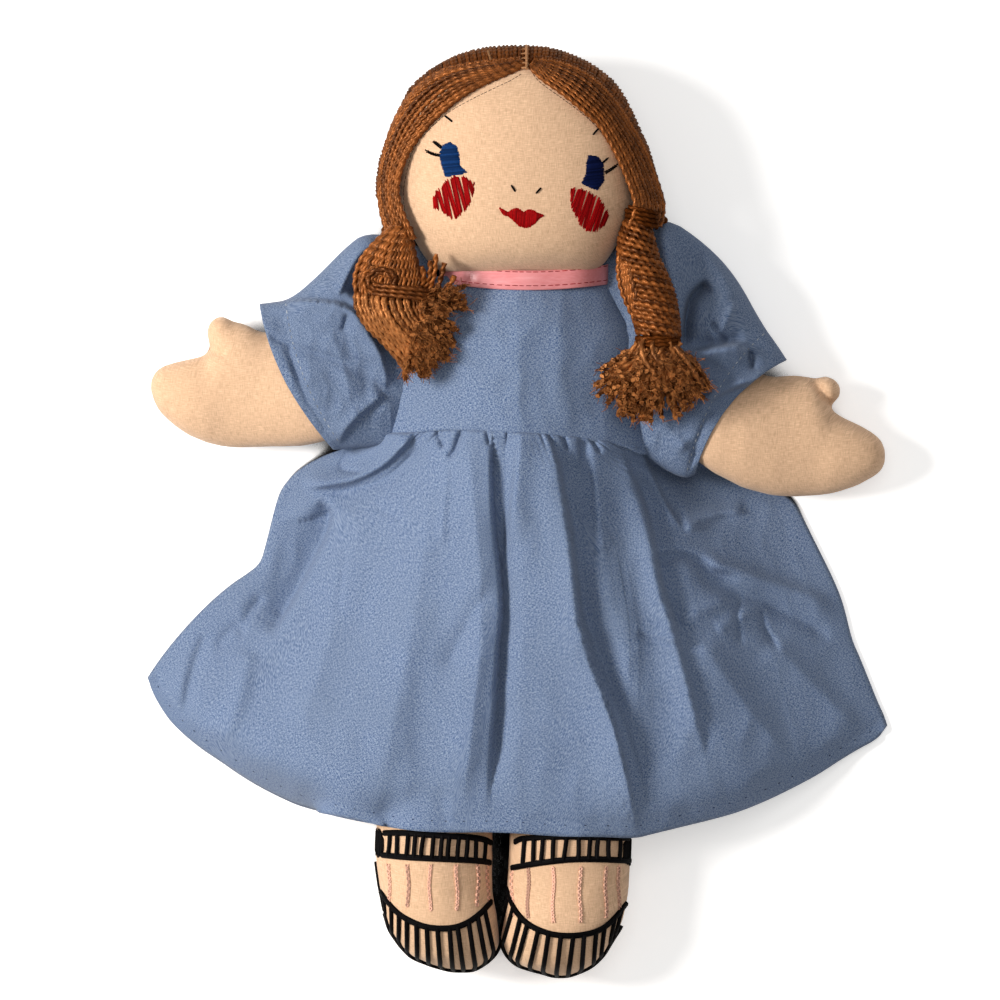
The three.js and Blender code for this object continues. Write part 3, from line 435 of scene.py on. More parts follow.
# Legs: straight muslin tubes with a rounded foot, sewn into the seam at the bottom of the torso.
leg_width, leg_deep = 46, 40
leg_root, leg_rest = -33.6, 19.5
right_leg_shares = [
    (0.0, 0.8, 0.012, 0.0, 0.13), (0.06, 0.84, 0.36, -0.03, 0.12), (0.14, 0.88, 0.68, -0.06, 0.09),
    (0.22, 0.92, 0.88, -0.1, 0.05), (0.32, 0.95, 0.95, -0.14, 0.0375),
    (0.605, 0.945, 0.955, -0.24, 0.0375), (0.705, 0.946, 0.97, -0.24, 0.0), (0.786, 0.915, 0.97, -0.223, 0.0),
    (0.849, 0.913, 0.96, -0.18, 0.0), (0.89, 0.888, 0.93, -0.154, 0.0), (0.93, 0.815, 0.86, -0.109, 0.0),
    (0.963, 0.66, 0.72, -0.089, 0.0), (0.984, 0.43, 0.5, -0.055, 0.0), (0.998, 0.19, 0.22, -0.015, 0.0),
]
left_leg_shares = [
    (0.0, 0.8, 0.012, 0.0, 0.13), (0.06, 0.84, 0.36, 0.0, 0.12), (0.14, 0.88, 0.68, 0.0, 0.09),
    (0.22, 0.92, 0.88, 0.0, 0.05), (0.32, 0.95, 0.95, 0.0, 0.0375),
    (0.605, 0.98, 0.955, -0.02, 0.0375), (0.741, 1.0, 0.98, -0.034, 0.0), (0.807, 0.987, 0.98, -0.05, 0.0),
    (0.86, 0.97, 0.96, -0.083, 0.0), (0.9, 0.913, 0.92, -0.136, 0.0), (0.94, 0.783, 0.84, -0.143, 0.0),
    (0.966, 0.63, 0.7, -0.14, 0.0), (0.985, 0.33, 0.45, -0.1, 0.0), (0.997, 0.11, 0.2, -0.09, 0.0),
]
legs = {}
for side, centre, length, shares in (
    ("right", -20.5, 138.8, right_leg_shares),
    ("left", 20.5, 141.45, left_leg_shares),
):
    rings = [
        (
            leg_root - a * length, centre + s * leg_width, leg_rest + r * leg_deep,
            w * leg_width / 2, d * leg_deep / 2,
        )
        for a, w, d, s, r in shares
    ]
    leg = stuffed(f"{side}_leg", "y", rings, 0.00035, len(side))
    leg.data.materials[0] = darker_leg_muslin
    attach(leg, f"{side}_leg")
    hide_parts(f"{side}_leg_cover", f"{side}_leg_stuffing")
    legs[side] = leg

# Arms: muslin tubes ending in mitten hands, with the thumb a bump on the upper edge.
# Rows are given on the front grid: place across, upper and lower edge, half thickness and height.
right_arm_rows = [
    (150, 380, 391, 2, 14), (153, 372, 401, 5.5, 14), (160, 366, 413, 8.5, 14),
    (175, 361, 427, 11, 14), (190, 358, 436, 12.5, 14), (205, 355, 442, 13, 14), (213, 341, 444, 13.2, 14),
    (221, 325, 446, 13.5, 14), (232, 321, 447, 13.8, 14.2), (246, 324, 447, 14, 14.8), (262, 332, 447, 14.2, 15.5),
    (300, 326, 446, 14.2, 18.6), (330, 330, 440, 13, 21.5), (360, 336, 430, 9.5, 23.8),
    (380, 338, 422, 4.4, 24.6), (390, 338, 420, 0.5, 24.8),
]
left_arm_rows = [
    (886, 450, 464, 2, 14), (883, 440, 471, 5.5, 14), (875, 433, 477, 8.5, 14),
    (860, 424, 485, 11, 14), (843, 416, 491, 12.5, 14), (831, 408, 494, 13, 14), (825, 392, 495, 13.2, 14),
    (814, 377, 496, 13.6, 14.2), (795, 375, 497, 14, 15), (775, 376, 496, 14.2, 16.3),
    (745, 370, 489, 14, 18.8), (715, 362, 474, 12.5, 21.3), (690, 352, 456, 9.8, 23.2),
    (665, 342, 436, 5.8, 24.4), (646, 339, 420, 0.5, 24.8),
]
arms = {}
for side, rows, thumb, crease in (
    ("right", right_arm_rows, ((221, 334), (5.6, 6.8, 8.5), 10), ((207, 349), (222, 353))),
    ("left", left_arm_rows, ((827, 389.5), (5.8, 5.2, 8), -20), ((812, 377), (829, 402))),
):
    rings = []
    for x, upper, lower, deep, rise in rows:
        along, top = spot(x, upper)
        low = spot(x, lower)[1]
        rings.append((along / mm, (top + low) / 2 / mm, rise, (top - low) / 2 / mm, deep))
    (x, y), sizes, turn = thumb
    place = (*(c / mm for c in spot(x, y)), 14)
    dent = (spot(*crease[0]), spot(*crease[1]), 0.0024, 0.0013)
    arm = stuffed(f"{side}_arm", "x", rings, 0.0003, 3 + len(side), extra=[(place, sizes, turn)], dents=[dent])
    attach(arm, f"{side}_arm")
    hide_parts(f"{side}_arm_cover", f"{side}_arm_stuffing")
    arms[side] = arm

# Head: one round muslin cushion; the face is only thread on its flat front.
head_x, chin_y, head_z = -0.4, 93.1, 31.8
head_length, head_width, head_deep = 79.2, 91, 58
head_shares = [
    (-0.044, 0.62, 0.36), (-0.02, 0.69, 0.52), (0.0, 0.73, 0.62), (0.037, 0.775, 0.75), (0.087, 0.825, 0.85),
    (0.163, 0.9, 0.93), (0.277, 0.98, 0.985), (0.44, 1.0, 1.0), (0.58, 0.98, 0.99),
    (0.67, 0.925, 0.965), (0.77, 0.84, 0.88), (0.86, 0.72, 0.76), (0.93, 0.56, 0.58),
    (0.98, 0.33, 0.345), (1.0, 0.1, 0.1),
]
head_rings = [
    (chin_y + a * head_length, head_x, head_z, w * head_width / 2, d * head_deep / 2)
    for a, w, d in head_shares
]
head = stuffed("head", "y", head_rings, 0.0002, 9, corner=2.1)
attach(head, "head")
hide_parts("head_cover", "head_stuffing")

# Dress: blue chambray, a plain bodice and a full skirt gathered into the waist seam.
# Every piece is a grid of points bent to its laid-out shape, with its folds added, then thickened.
chambray_weave = woven("chambray_weave", (0.03, 0.077, 0.205), (0.275, 0.34, 0.455), 0.26)


def chambray_shader(name, shade=1.0):
    material, tree, surface = shader(name)
    own = tree.nodes.new("ShaderNodeTexCoord").outputs["Object"]
    cloth = tree.nodes.new("ShaderNodeUVMap")
    cloth.uv_map = "cloth"
    weave = placed(chambray_weave, tree, cloth.outputs["UV"], 4200, 0.9)
    worn = ranged(tree, fibre(tree, own, 45), 0.35, 0.75, 0, 0.3)
    colour = blended(tree, worn, weave.outputs["Color"], (0.16, 0.21, 0.30))
    specks = ranged(tree, fibre(tree, own, 420, 1.0), 0.74, 0.8, 0, 0.5)
    colour = blended(tree, specks, colour, (0.06, 0.09, 0.2))
    # Shade scales the colour down: painted shade, for a darker copy of the same cloth.
    painted_shade_scale = tree.nodes.new("ShaderNodeVectorMath")
    painted_shade_scale.operation = "SCALE"
    painted_shade_scale.inputs["Scale"].default_value = shade
    wire(tree, colour, painted_shade_scale.inputs[0])
    wire(tree, painted_shade_scale.outputs[0], surface.inputs["Base Color"])
    surface.inputs["Roughness"].default_value = 0.85
    surface.inputs["Specular IOR Level"].default_value = 0.2
    surface.inputs["Sheen Weight"].default_value = 0.08
    surface.inputs["Sheen Roughness"].default_value = 0.4
    bumped(tree, weave.outputs["Height"], surface, 0.3, 0.0003)
    return material


# The sleeves use the same chambray with painted shade: its colour times 0.87.
chambray, painted_shade_sleeve_chambray = chambray_shader("chambray"), chambray_shader("painted_shade_sleeve_chambray", 0.87)


def rounded(points, turns=3):
    """A line with its corners cut, its ends kept."""
    for _ in range(turns):
        early = 0.75 * points[:-1] + 0.25 * points[1:]
        late = 0.25 * points[:-1] + 0.75 * points[1:]
        middle = np.stack([early, late], 1).reshape(-1, points.shape[1])
        points = np.concatenate([points[:1], middle, points[-1:]])
    return points


def spaced(points, count):
    """Evenly spaced points along a line."""
    run = np.r_[0, np.cumsum(np.linalg.norm(np.diff(points, axis=0), axis=1))]
    stops = np.linspace(0, run[-1], count)
    return np.stack([np.interp(stops, run, points[:, k]) for k in range(points.shape[1])], 1)


def laid(*points, count=60):
    """A rounded line on the front grid, in metres."""
    return spaced(rounded(np.array([spot(x, y) for x, y in points])), count)


def eased(value, start, end):
    share = np.clip((value - start) / (end - start), 0, 1)
    return share * share * (3 - 2 * share)


def relief(flat, folds):
    """Heights of folds over points seen from above. Each fold is its line, its height in mm and its
    widths to the left and right in grid squares; a negative height is a valley."""
    total = np.zeros(len(flat))
    for points, height, left, right in folds:
        path = laid(*points, count=70)
        away = flat[:, None] - path[None]
        near = np.argmin((away ** 2).sum(2), 1)
        offset = away[np.arange(len(flat)), near]
        ahead = np.gradient(path, axis=0)[near]
        turn = ahead[:, 0] * offset[:, 1] - ahead[:, 1] * offset[:, 0]
        width = np.where(turn < 0, left, right) * square
        along = near / 69
        ends = np.minimum(eased(along, -0.02, 0.12), eased(1 - along, -0.02, 0.2))
        reach = np.sqrt((offset ** 2).sum(1)) / width
        total += height * mm * ends * (0.55 * np.exp(-reach ** 2) + 0.45 * np.exp(-1.7 * reach))
    return total


def rough(flat, size, seed):
    return np.array([noise.noise((x / size, y / size, seed)) for x, y in flat])


def creased(flat, size, seed):
    """Small sharp wrinkles, as of cloth that was crumpled and smoothed out."""
    first = np.abs(rough(flat, size, seed)) ** 0.8
    second = np.abs(rough(flat * (1.0, 0.6), size * 0.5, seed + 4)) ** 0.8
    return -0.0013 * first - 0.0006 * second


def node_tree(*objects):
    """The surfaces of objects, for finding where threads and cloth lie on them."""
    points, faces = [], []
    for piece in objects:
        first = len(points)
        points += [piece.matrix_world @ vert.co for vert in piece.data.vertices]
        faces += [[first + k for k in face.vertices] for face in piece.data.polygons]
    return BVHTree.FromPolygons(points, faces)


def tops(tree, flat, missed):
    """The height of the upper side of a surface over each point."""
    found = [tree.ray_cast((x, y, 1), (0, 0, -1))[0] for x, y in flat]
    return np.array([hit.z if hit else missed for hit in found])


def measured(points, along, middle):
    """How far each point of a grid lies from its middle line, along the cloth."""
    run = np.cumsum(np.linalg.norm(np.diff(points, axis=along), axis=2), axis=along)
    run = np.pad(run, ((0, 0), (1, 0)) if along else ((1, 0), (0, 0)))
    run = run - np.take(run, [middle], along)
    other = 1 - along
    evened = [np.roll(run, step, other) for step in range(-5, 6)]
    level = sum(evened) / len(evened)
    edge = np.arange(run.shape[other])
    inner = ((edge > 5) & (edge < len(edge) - 6)).reshape((-1, 1) if along else (1, -1))
    return np.where(inner, level, run)


def panel(name, points, material, middle=0):
    """A sheet bent from a flat grid to rows of points; edges that meet are joined. Its "cloth" map
    follows its threads, in metres from its middle column."""
    rows, columns = points.shape[:2]
    weft, warp = measured(points, 1, middle or columns // 2), measured(points, 0, 0)
    bm = bmesh.new()
    cloth = bm.loops.layers.uv.new("cloth")
    bmesh.ops.create_grid(bm, x_segments=columns - 1, y_segments=rows - 1, size=0.5)
    for vert in bm.verts:
        row, column = round((vert.co.y + 0.5) * (rows - 1)), round((vert.co.x + 0.5) * (columns - 1))
        vert.co = points[row, column]
        for loop in vert.link_loops:
            loop[cloth].uv = (weft[row, column], warp[row, column])
    bmesh.ops.remove_doubles(bm, verts=bm.verts, dist=1e-6)
    return finished(name, bm, material)


def thickened(piece, thickness=0.0005):
    solid = piece.modifiers.new("thickness", "SOLIDIFY")
    solid.thickness = thickness
    solid.offset = 0
    return settled(piece)


def threads(name, lines, radius, material, sides=6, turn=0.0, lobes=0.0):
    """Threads along lines of 3-D points. Turn is the length of one twist and lobes how far its
    two plies stand out; each thread carries its own random number for its shade."""
    outline = bpy.data.curves.new(name + "_outline", "CURVE")
    spline = outline.splines.new("POLY")
    spline.points.add(sides - 1)
    spline.use_cyclic_u = True
    for k, point in enumerate(spline.points):
        angle = 2 * math.pi * k / sides
        reach = radius * (1 - lobes + 2 * lobes * math.cos(angle) ** 2)
        point.co = (reach * math.cos(angle), reach * math.sin(angle), 0, 1)
    outline_piece = bpy.data.objects.new(name + "_outline", outline)
    curve = bpy.data.curves.new(name, "CURVE")
    curve.dimensions = "3D"
    curve.bevel_mode = "OBJECT"
    curve.bevel_object = outline_piece
    curve.use_fill_caps = True
    for line in lines:
        spline = curve.splines.new("POLY")
        spline.points.add(len(line) - 1)
        spline.points.foreach_set("co", np.c_[line, np.ones(len(line))].ravel())
        if turn:
            run = np.r_[0, np.cumsum(np.linalg.norm(np.diff(line, axis=0), axis=1))]
            spline.points.foreach_set("tilt", 2 * math.pi * run / turn)
    scene.collection.objects.link(outline_piece)
    drawn = bpy.data.objects.new(name + "_lines", curve)
    scene.collection.objects.link(drawn)
    bpy.context.view_layer.update()
    mesh = bpy.data.meshes.new_from_object(drawn.evaluated_get(bpy.context.evaluated_depsgraph_get()))
    bpy.data.objects.remove(drawn)
    bpy.data.objects.remove(outline_piece)
    piece = bpy.data.objects.new(name, mesh)
    scene.collection.objects.link(piece)
    mesh.materials.clear()
    mesh.materials.append(material)
    mesh.shade_smooth()
    chance = random.Random(name)
    shades = [chance.random() for _ in lines]
    points = [np.full(2 * sides, shade) for shade in shades] + [np.full(len(line) * sides, shade) for line, shade in zip(lines, shades)]
    mesh.attributes.new("strand", "FLOAT", "POINT").data.foreach_set("value", np.concatenate(points))
    return piece


# Skirt: laid out in a half circle, with the gathers' long folds running down from the waist.
waist = laid((385, 432), (410, 431), (450, 427), (500, 430), (540, 432), (580, 437), (620, 442), (640, 452), count=1201)
skirt_left = laid(
    (385, 432), (362, 441), (340, 450), (325, 455), (310, 462), (295, 472), (288, 480), (280, 490),
    (275, 505), (270, 525), (265, 545), (260, 563), (250, 572), (230, 585), (210, 602), (190, 622),
    (170, 645), (155, 665), (146, 679), count=131,
)
skirt_right = laid(
    (640, 450), (670, 456), (700, 461), (740, 474), (765, 486), (785, 494), (797, 503), (805, 520), (820, 550),
    (835, 580), (845, 605), (853, 640), (862, 660), (872, 685), (880, 705), (885, 715), (889, 727), count=131,
)
hem = laid(
    (146, 679), (150, 692), (160, 710), (170, 724), (185, 738), (200, 750), (220, 763), (240, 777), (260, 789),
    (280, 799), (300, 808), (330, 815), (360, 821), (400, 829), (440, 832), (500, 831), (560, 836), (600, 836),
    (635, 838), (650, 834), (680, 827), (710, 820), (740, 812), (770, 800), (795, 788), (820, 775), (840, 762),
    (860, 750), (880, 740), (889, 727), count=1201,
)
skirt_folds = [
    (((492, 430), (493, 470), (494, 510), (498, 545), (502, 585), (503, 616), (499, 652), (497, 700), (493, 750), (489, 805)), -5.2, 2.5, 13),
    (((505, 432), (505, 480), (504, 530), (506, 560)), -2.2, 8, 12),
    (((521, 434), (517, 470), (511, 527), (507, 556)), 2.4, 2.5, 16),
    (((468, 436), (474, 500), (480, 560), (482, 640), (472, 730), (462, 815)), 2.4, 22, 16),
    (((546, 432), (551, 447), (559, 474), (564, 509), (569, 541), (573, 568), (576, 599), (577, 616), (582, 632), (587, 652), (596, 679), (605, 699), (616, 735), (627, 780), (638, 834)), 5.0, 30, 2.5),
    (((556, 446), (565, 480), (571, 515), (577, 560), (582, 610), (594, 645), (612, 690), (634, 740), (650, 810)), -3.2, 4, 22),
    (((580, 437), (582, 456), (582, 482), (578, 520)), -3.0, 2.5, 8),
    (((587, 443), (596, 474), (599, 520), (604, 560)), 1.8, 7, 20),
    (((563, 434), (567, 452)), -2.0, 2.5, 2.5), (((591, 438), (600, 454)), -1.8, 2.5, 3),
    (((621, 447), (628, 470), (641, 499), (648, 527), (653, 549), (656, 574), (662, 599), (669, 616), (676, 643), (692, 700), (706, 760)), 4.2, 20, 2.5),
    (((632, 470), (646, 505), (656, 545), (662, 580), (676, 615), (690, 650)), -2.8, 4, 16),
    (((628, 442), (641, 454), (650, 472), (660, 495), (671, 515), (683, 530)), 2.4, 9, 2.5),
    (((684, 531), (694, 527), (703, 518), (722, 514), (748, 511)), 2.2, 3, 12),
    (((653, 562), (664, 556), (682, 553), (703, 561), (712, 572), (742, 578)), -2.4, 9, 3),
    (((676, 622), (702, 610), (732, 598)), 1.3, 8, 9), (((716, 632), (740, 615), (770, 604)), 1.2, 7, 7),
    (((636, 632), (660, 642), (684, 648)), -1.3, 6, 3), (((589, 554), (602, 550), (617, 547)), -0.8, 4, 2),
    (((700, 558), (760, 580), (820, 600), (845, 615)), 2.8, 14, 8),
    (((690, 574), (750, 598), (800, 620), (840, 645)), -1.8, 8, 14),
    (((742, 596), (736, 620), (742, 645)), -1.3, 5, 3),
    (((760, 608), (766, 632), (782, 652)), -1.3, 5, 3),
    (((700, 640), (740, 700), (790, 760)), 1.8, 26, 14),
    (((770, 640), (820, 690), (862, 735)), 1.6, 24, 12),
    (((412, 431), (411, 437), (399, 450), (385, 464), (371, 472), (356, 479), (337, 483), (300, 488)), 4.2, 15, 2.5),
    (((418, 446), (403, 464), (386, 478), (360, 488), (320, 494)), -2.2, 4, 14),
    (((347, 449), (339, 466), (343, 471), (366, 472)), -1.3, 3, 3),
    (((436, 427), (439, 436), (444, 450)), -2.2, 2.5, 3), (((463, 428), (458, 441), (454, 453), (446, 459)), -2.2, 3, 4),
    (((448, 464), (445, 500), (442, 546)), 0.9, 6, 4), (((486, 429), (489, 446)), -1.8, 2, 2),
    (((319, 499), (330, 513), (326, 531), (310, 562), (296, 590), (269, 638)), -6.0, 24, 4),
    (((347, 543), (343, 581), (338, 618)), -1.1, 5, 2), (((360, 553), (400, 552), (440, 553)), 0.8, 5, 2),
    (((376, 507), (388, 515), (404, 520)), -0.9, 3, 5), (((489, 588), (465, 625), (446, 672)), -1.6, 10, 16),
    (((360, 500), (352, 560), (330, 640), (296, 740)), 2.2, 26, 22),
    (((430, 470), (428, 520), (418, 600), (398, 700), (380, 800)), 1.8, 24, 20),
    (((262, 596), (246, 616), (238, 640)), -1.2, 6, 4),
    (((240, 622), (226, 634), (214, 650)), -1.1, 5, 4),
    (((205, 632), (195, 655), (186, 690), (182, 720)), -1.6, 4, 9),
    (((250, 650), (240, 700), (222, 748)), 1.6, 16, 10),
]


def filled(top, bottom, left, right, shares):
    """A grid of points between four edges: rows run from top to bottom."""
    across = shares[None, :, None]
    down = np.linspace(0, 1, len(left))[:, None, None]
    corners = (1 - across) * ((1 - down) * top[0] + down * bottom[0]) + across * ((1 - down) * top[-1] + down * bottom[-1])
    return (1 - down) * top[None] + down * bottom[None] + (1 - across) * left[:, None] + across * right[:, None] - corners


def smoothed(heights, turns):
    for _ in range(turns):
        inner = (heights[:-2, 1:-1] + heights[2:, 1:-1] + heights[1:-1, :-2] + heights[1:-1, 2:]) / 4
        heights[1:-1, 1:-1] = inner
    return heights


def waist_height(x, side):
    share = np.clip(np.abs(x / 0.0485), 0, 1)
    return torso_z * mm + side * 0.0228 * (1 - share ** 1.5) ** (1 / 1.5)


fine = np.linspace(0, 1, 1201)
crowd = np.cumsum(1 + sum(much * np.exp(-(((fine - place) / wide) ** 2)) for place, wide, much in (
    (0.445, 0.03, 2.0), (0.655, 0.035, 2.0), (0.84, 0.08, 1.0),
)))
picked = np.round(np.interp(np.linspace(crowd[0], crowd[-1], 281), crowd, np.arange(1201))).astype(int)
front = filled(waist[picked], hem[picked], skirt_left, skirt_right, fine[picked])
rows, columns = front.shape[:2]
flat = front.reshape(-1, 2)
down = np.linspace(0, 1, rows)[:, None]
across = fine[picked][None]
start = waist_height(front[:1, :, 0], 1)
lying = tops(node_tree(bpy.data.objects["skirt"]), flat, 0.0015).reshape(rows, columns)
lying = np.where(down < 0.04, start, lying)
lying[:, 0] = lying[:, -1] = 0.0013 + (torso_z * mm - 0.0013) * (1 - eased(down[:, 0], 0, 0.22))
lying[0] = start[0]
lying[-1] = np.minimum(lying[-1], 0.0025 + 0.04 * np.sin(np.pi * across[0]) ** 1.5)
lying = smoothed(lying, 60)
under = tops(node_tree(torso, *legs.values()), flat, 0).reshape(rows, columns)
lying = smoothed(np.maximum(lying, (under + 0.0016) * (under > 0)), 6)
chance = random.Random(4)
tucks = sum(
    -np.exp(-(((across - chance.random()) / (0.004 + 0.005 * chance.random())) ** 2)) * (0.4 + chance.random())
    for _ in range(16)
)
inside = eased(across, 0, 0.05) * eased(1 - across, 0, 0.05)
lift = 1.5 * relief(flat, skirt_folds).reshape(rows, columns) * inside * eased(down, 0, 0.03)
lift = lift + 0.0016 * tucks * eased(down, 0, 0.015) * (1 - eased(down, 0.02, 0.09)) * inside
lift = lift + 0.0021 * inside * (eased(down, 0.006, 0.022) * (1 - eased(down, 0.05, 0.3)) - 1.1 * (1 - eased(down, 0, 0.012)))
lift = lift + inside * eased(down, 0.1, 0.4) * (
    0.0012 * rough(flat, 0.028, 1).reshape(rows, columns) + creased(flat, 0.021, 2).reshape(rows, columns)
)
hem_dip = np.exp(-(((1 - down) * 0.15 - 0.0046) / 0.0007) ** 2)
lowest = np.maximum(under + 0.001, 0.0011)
front_heights = lowest + 0.0005 * np.log1p(np.exp((lying + lift - 0.00035 * hem_dip - lowest) / 0.0005))
back_hem = hem + np.array((0, 0.005)) * np.sin(np.pi * fine)[:, None] ** 0.5
back = filled(waist[picked], back_hem[picked], skirt_left, skirt_right, fine[picked])[:, ::7]
back_start = waist_height(back[:1, :, 0], -1)
back_side = lying[:, :1] * (1 - across[:, ::7]) + lying[:, -1:] * across[:, ::7]
flat_out = np.abs(2 * across[:, ::7] - 1) ** 10
back_heights = back_start * (1 - eased(down, 0, 0.2)) + 0.0004 * eased(down, 0, 0.2)
back_heights = back_heights * (1 - flat_out) + back_side * flat_out
back_heights[:, 0], back_heights[:, -1] = front_heights[:, 0], front_heights[:, -1]
ring = np.concatenate([
    np.dstack([front, front_heights]),
    np.dstack([back, np.maximum(back_heights, 0.0004)])[:, ::-1],
], 1)
ring = np.delete(ring, columns, 1)
skirt = thickened(panel("skirt_cloth", ring, chambray, columns // 2))
skirt_top = node_tree(skirt)

# Hem stitches: dark blue running stitches a little above the edge of the skirt.
floss_shades = {
    "navy": (0.004, 0.008, 0.045), "blue": (0.006, 0.032, 0.12), "red": (0.31, 0.003, 0.004),
    "black": (0.004, 0.0035, 0.004), "pink": (0.80, 0.46, 0.34), "cream": (0.42, 0.44, 0.46),
}


def floss_shader(name, colour):
    material, tree, surface = shader(name)
    own = tree.nodes.new("ShaderNodeTexCoord").outputs["Object"]
    strand = tree.nodes.new("ShaderNodeAttribute")
    strand.attribute_name = "strand"
    stitch = blended(tree, strand.outputs["Fac"], tuple(c * 0.5 for c in colour), tuple(c * 1.35 for c in colour))
    fuzzy = ranged(tree, fibre(tree, own, 1500), 0.4, 0.7, 0, 0.45)
    wire(tree, blended(tree, fuzzy, stitch, tuple(c * 0.45 for c in colour)), surface.inputs["Base Color"])
    surface.inputs["Roughness"].default_value = 0.55
    surface.inputs["Specular IOR Level"].default_value = 0.03
    return material


floss = {name: floss_shader(f"{name}_thread", colour) for name, colour in floss_shades.items()}


def lain(tree, line, above):
    """A line on the front grid's plane, dropped on to a surface."""
    heights = tops(tree, line, np.nan)
    known = ~np.isnan(heights)
    if not known.any():
        found = [tree.find_nearest((x, y, 0.02))[0] for x, y in line]
        return np.array([(hit.x, hit.y, hit.z) for hit in found])
    heights = np.interp(np.arange(len(line)), np.arange(len(line))[known], heights[known])
    return np.c_[line, heights + above]


def stitched(tree, path, length, gap, above, chance):
    """Running stitches along a path: short lines that dive at both ends."""
    run = np.r_[0, np.cumsum(np.linalg.norm(np.diff(path, axis=0), axis=1))]
    made = []
    place = 0.0
    while place + length < run[-1]:
        size = length * (0.75 + 0.5 * chance.random())
        stops = np.linspace(place, place + size, 6)
        line = np.stack([np.interp(stops, run, path[:, k]) for k in (0, 1)], 1)
        found = lain(tree, line, above)
        found[[0, -1], 2] -= above * 1.8
        made.append(found)
        place += size + gap * (0.7 + 0.6 * chance.random())
    return made


hem_row = front[round(rows * (1 - 0.0046 / 0.15)), 4:-4]
hem_lines = stitched(skirt_top, hem_row, 0.0006, 0.0062, 0.0001, random.Random(8))
hem_stitches = threads("hem_stitches", hem_lines, 0.00014, floss["navy"])
for piece in (skirt, hem_stitches):
    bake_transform(piece)
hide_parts("skirt")

# Bodice: front and back cut to the torso and joined at the sides, shoulders and armholes.
bodice_folds = [
    (((400, 300), (420, 340), (430, 400)), 0.7, 14, 10), (((470, 300), (476, 350), (486, 425)), 0.8, 16, 12),
    (((505, 300), (508, 360), (500, 428)), -0.6, 12, 12), (((560, 300), (556, 350), (562, 432)), 0.8, 14, 10),
    (((600, 330), (590, 380), (596, 432)), -0.6, 10, 12), (((440, 380), (470, 400), (520, 404)), 0.5, 8, 8),
    (((395, 380), (420, 410), (460, 424)), 0.7, 8, 8), (((540, 410), (590, 415), (630, 430)), 0.6, 8, 8),
]
torso_table = np.array(torso_rings)
waist_line = waist[np.argsort(waist[:, 0])]
bodice_top = 0.088
for side, up in (("front", 1), ("back", -1)):
    angles = np.linspace(math.pi, 0, 90)[None]
    cosine, sine = np.cos(angles), np.sin(angles)
    span = np.sign(cosine) * np.abs(cosine) ** (2 / 1.5)
    rise = np.abs(sine) ** (2 / 1.5)
    low = np.interp(0.0485 * span[0], waist_line[:, 0], waist_line[:, 1]) - 0.001
    level = low[None] + (bodice_top - low[None]) * np.linspace(0, 1, 50)[:, None]
    wide = np.interp(level, torso_table[:, 0] * mm, torso_table[:, 3] * mm) + 0.0014
    wide = np.maximum(wide, 0.0485 - 0.04 * (level - low[None]) - 0.5 * np.maximum(0, level - 0.065))
    deep = np.interp(level, torso_table[:, 0] * mm, torso_table[:, 4] * mm) + 0.0015
    points = np.dstack([wide * span, level, torso_z * mm + up * deep * rise])
    if up > 0:
        seen = points[:, :, :2].reshape(-1, 2)
        lift = 0.6 * relief(seen, bodice_folds) + 0.0008 + creased(seen, 0.016, 5)
        points[:, :, 2] += lift.reshape(points.shape[:2]) * rise
    points[:, :, 2] = np.maximum(points[:, :, 2], 0.0006)
    bodice = thickened(panel(f"bodice_{side}_cloth", points, chambray))
    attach(bodice, "torso")
    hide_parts(f"bodice_{side}")

# Sleeves: short puffed tubes of the same cloth, with a narrow stitched hem round the opening.
# Rows run out from the armhole: upper and lower point on the front grid, half thickness and height.
right_sleeve_rows = [
    ((433, 258), (398, 438), 8, 24), ((408, 240), (392, 441), 10.5, 23.8), ((366, 232), (382, 444), 13.6, 23.3),
    ((345, 248), (370, 446), 15.8, 21.5), ((318, 276), (356, 447), 17.2, 19.8),
    ((290, 300), (345, 448), 17.4, 19), ((268, 303), (337, 449), 17, 18.6), ((259, 304), (333, 449), 16.6, 18.4),
]
left_sleeve_rows = [
    ((601, 257), (634, 440), 6.5, 24), ((630, 236), (638, 448), 9, 23.8), ((665, 216), (648, 456), 13.2, 23.3),
    ((706, 244), (662, 467), 15.6, 21), ((736, 276), (675, 474), 17.2, 19.9),
    ((762, 324), (684, 477), 17.4, 19.2), ((778, 346), (690, 477), 17, 18.8), ((787, 360), (695, 474), 16.4, 18.6),
]
sleeve_folds = {
    "right": [
        (((377, 241), (363, 250), (354, 262), (346, 279), (337, 298)), 3.0, 14, 2.5),
        (((384, 252), (370, 266), (359, 284), (350, 298)), -6.0, 7, 10),
        (((262, 306), (279, 302), (296, 301), (326, 303), (345, 307), (357, 316), (365, 327), (373, 340), (384, 362), (387, 380), (384, 394)), 3.6, 13, 2.5),
        (((385, 394), (369, 405), (354, 419), (344, 431), (337, 446)), 2.6, 12, 2.5),
        (((267, 334), (288, 344), (313, 352), (336, 358), (354, 368)), -1.5, 8, 3),
        (((348, 314), (342, 332)), -1.8, 3, 3), (((289, 345), (294, 366), (311, 407), (318, 428)), -1.4, 6, 2.5),
        (((330, 330), (346, 372), (352, 410)), 1.4, 10, 12),
    ],
    "left": [
        (((708, 280), (695, 292), (688, 303), (685, 320), (684, 350)), -7.5, 3, 9),
        (((664, 222), (662, 240), (668, 270), (676, 300), (677, 340)), 3.2, 6, 9),
        (((686, 357), (701, 353), (722, 349), (748, 346)), 4.2, 14, 2.5), (((690, 349), (720, 341), (745, 338)), -2.2, 4, 9),
        (((710, 322), (720, 334), (728, 346)), -2.2, 3, 4), (((750, 350), (753, 371)), -2.8, 4, 3),
        (((700, 250), (716, 268), (740, 300)), 1.8, 10, 12), (((736, 300), (724, 326), (712, 344)), 1.8, 9, 5),
        (((770, 380), (755, 380), (738, 384), (722, 391), (709, 397), (699, 407)), 3.4, 9, 3),
        (((716, 412), (702, 436), (690, 470)), -1.6, 8, 5), (((664, 420), (676, 440), (688, 450)), 1.4, 8, 8),
    ],
}
sleeves = {}
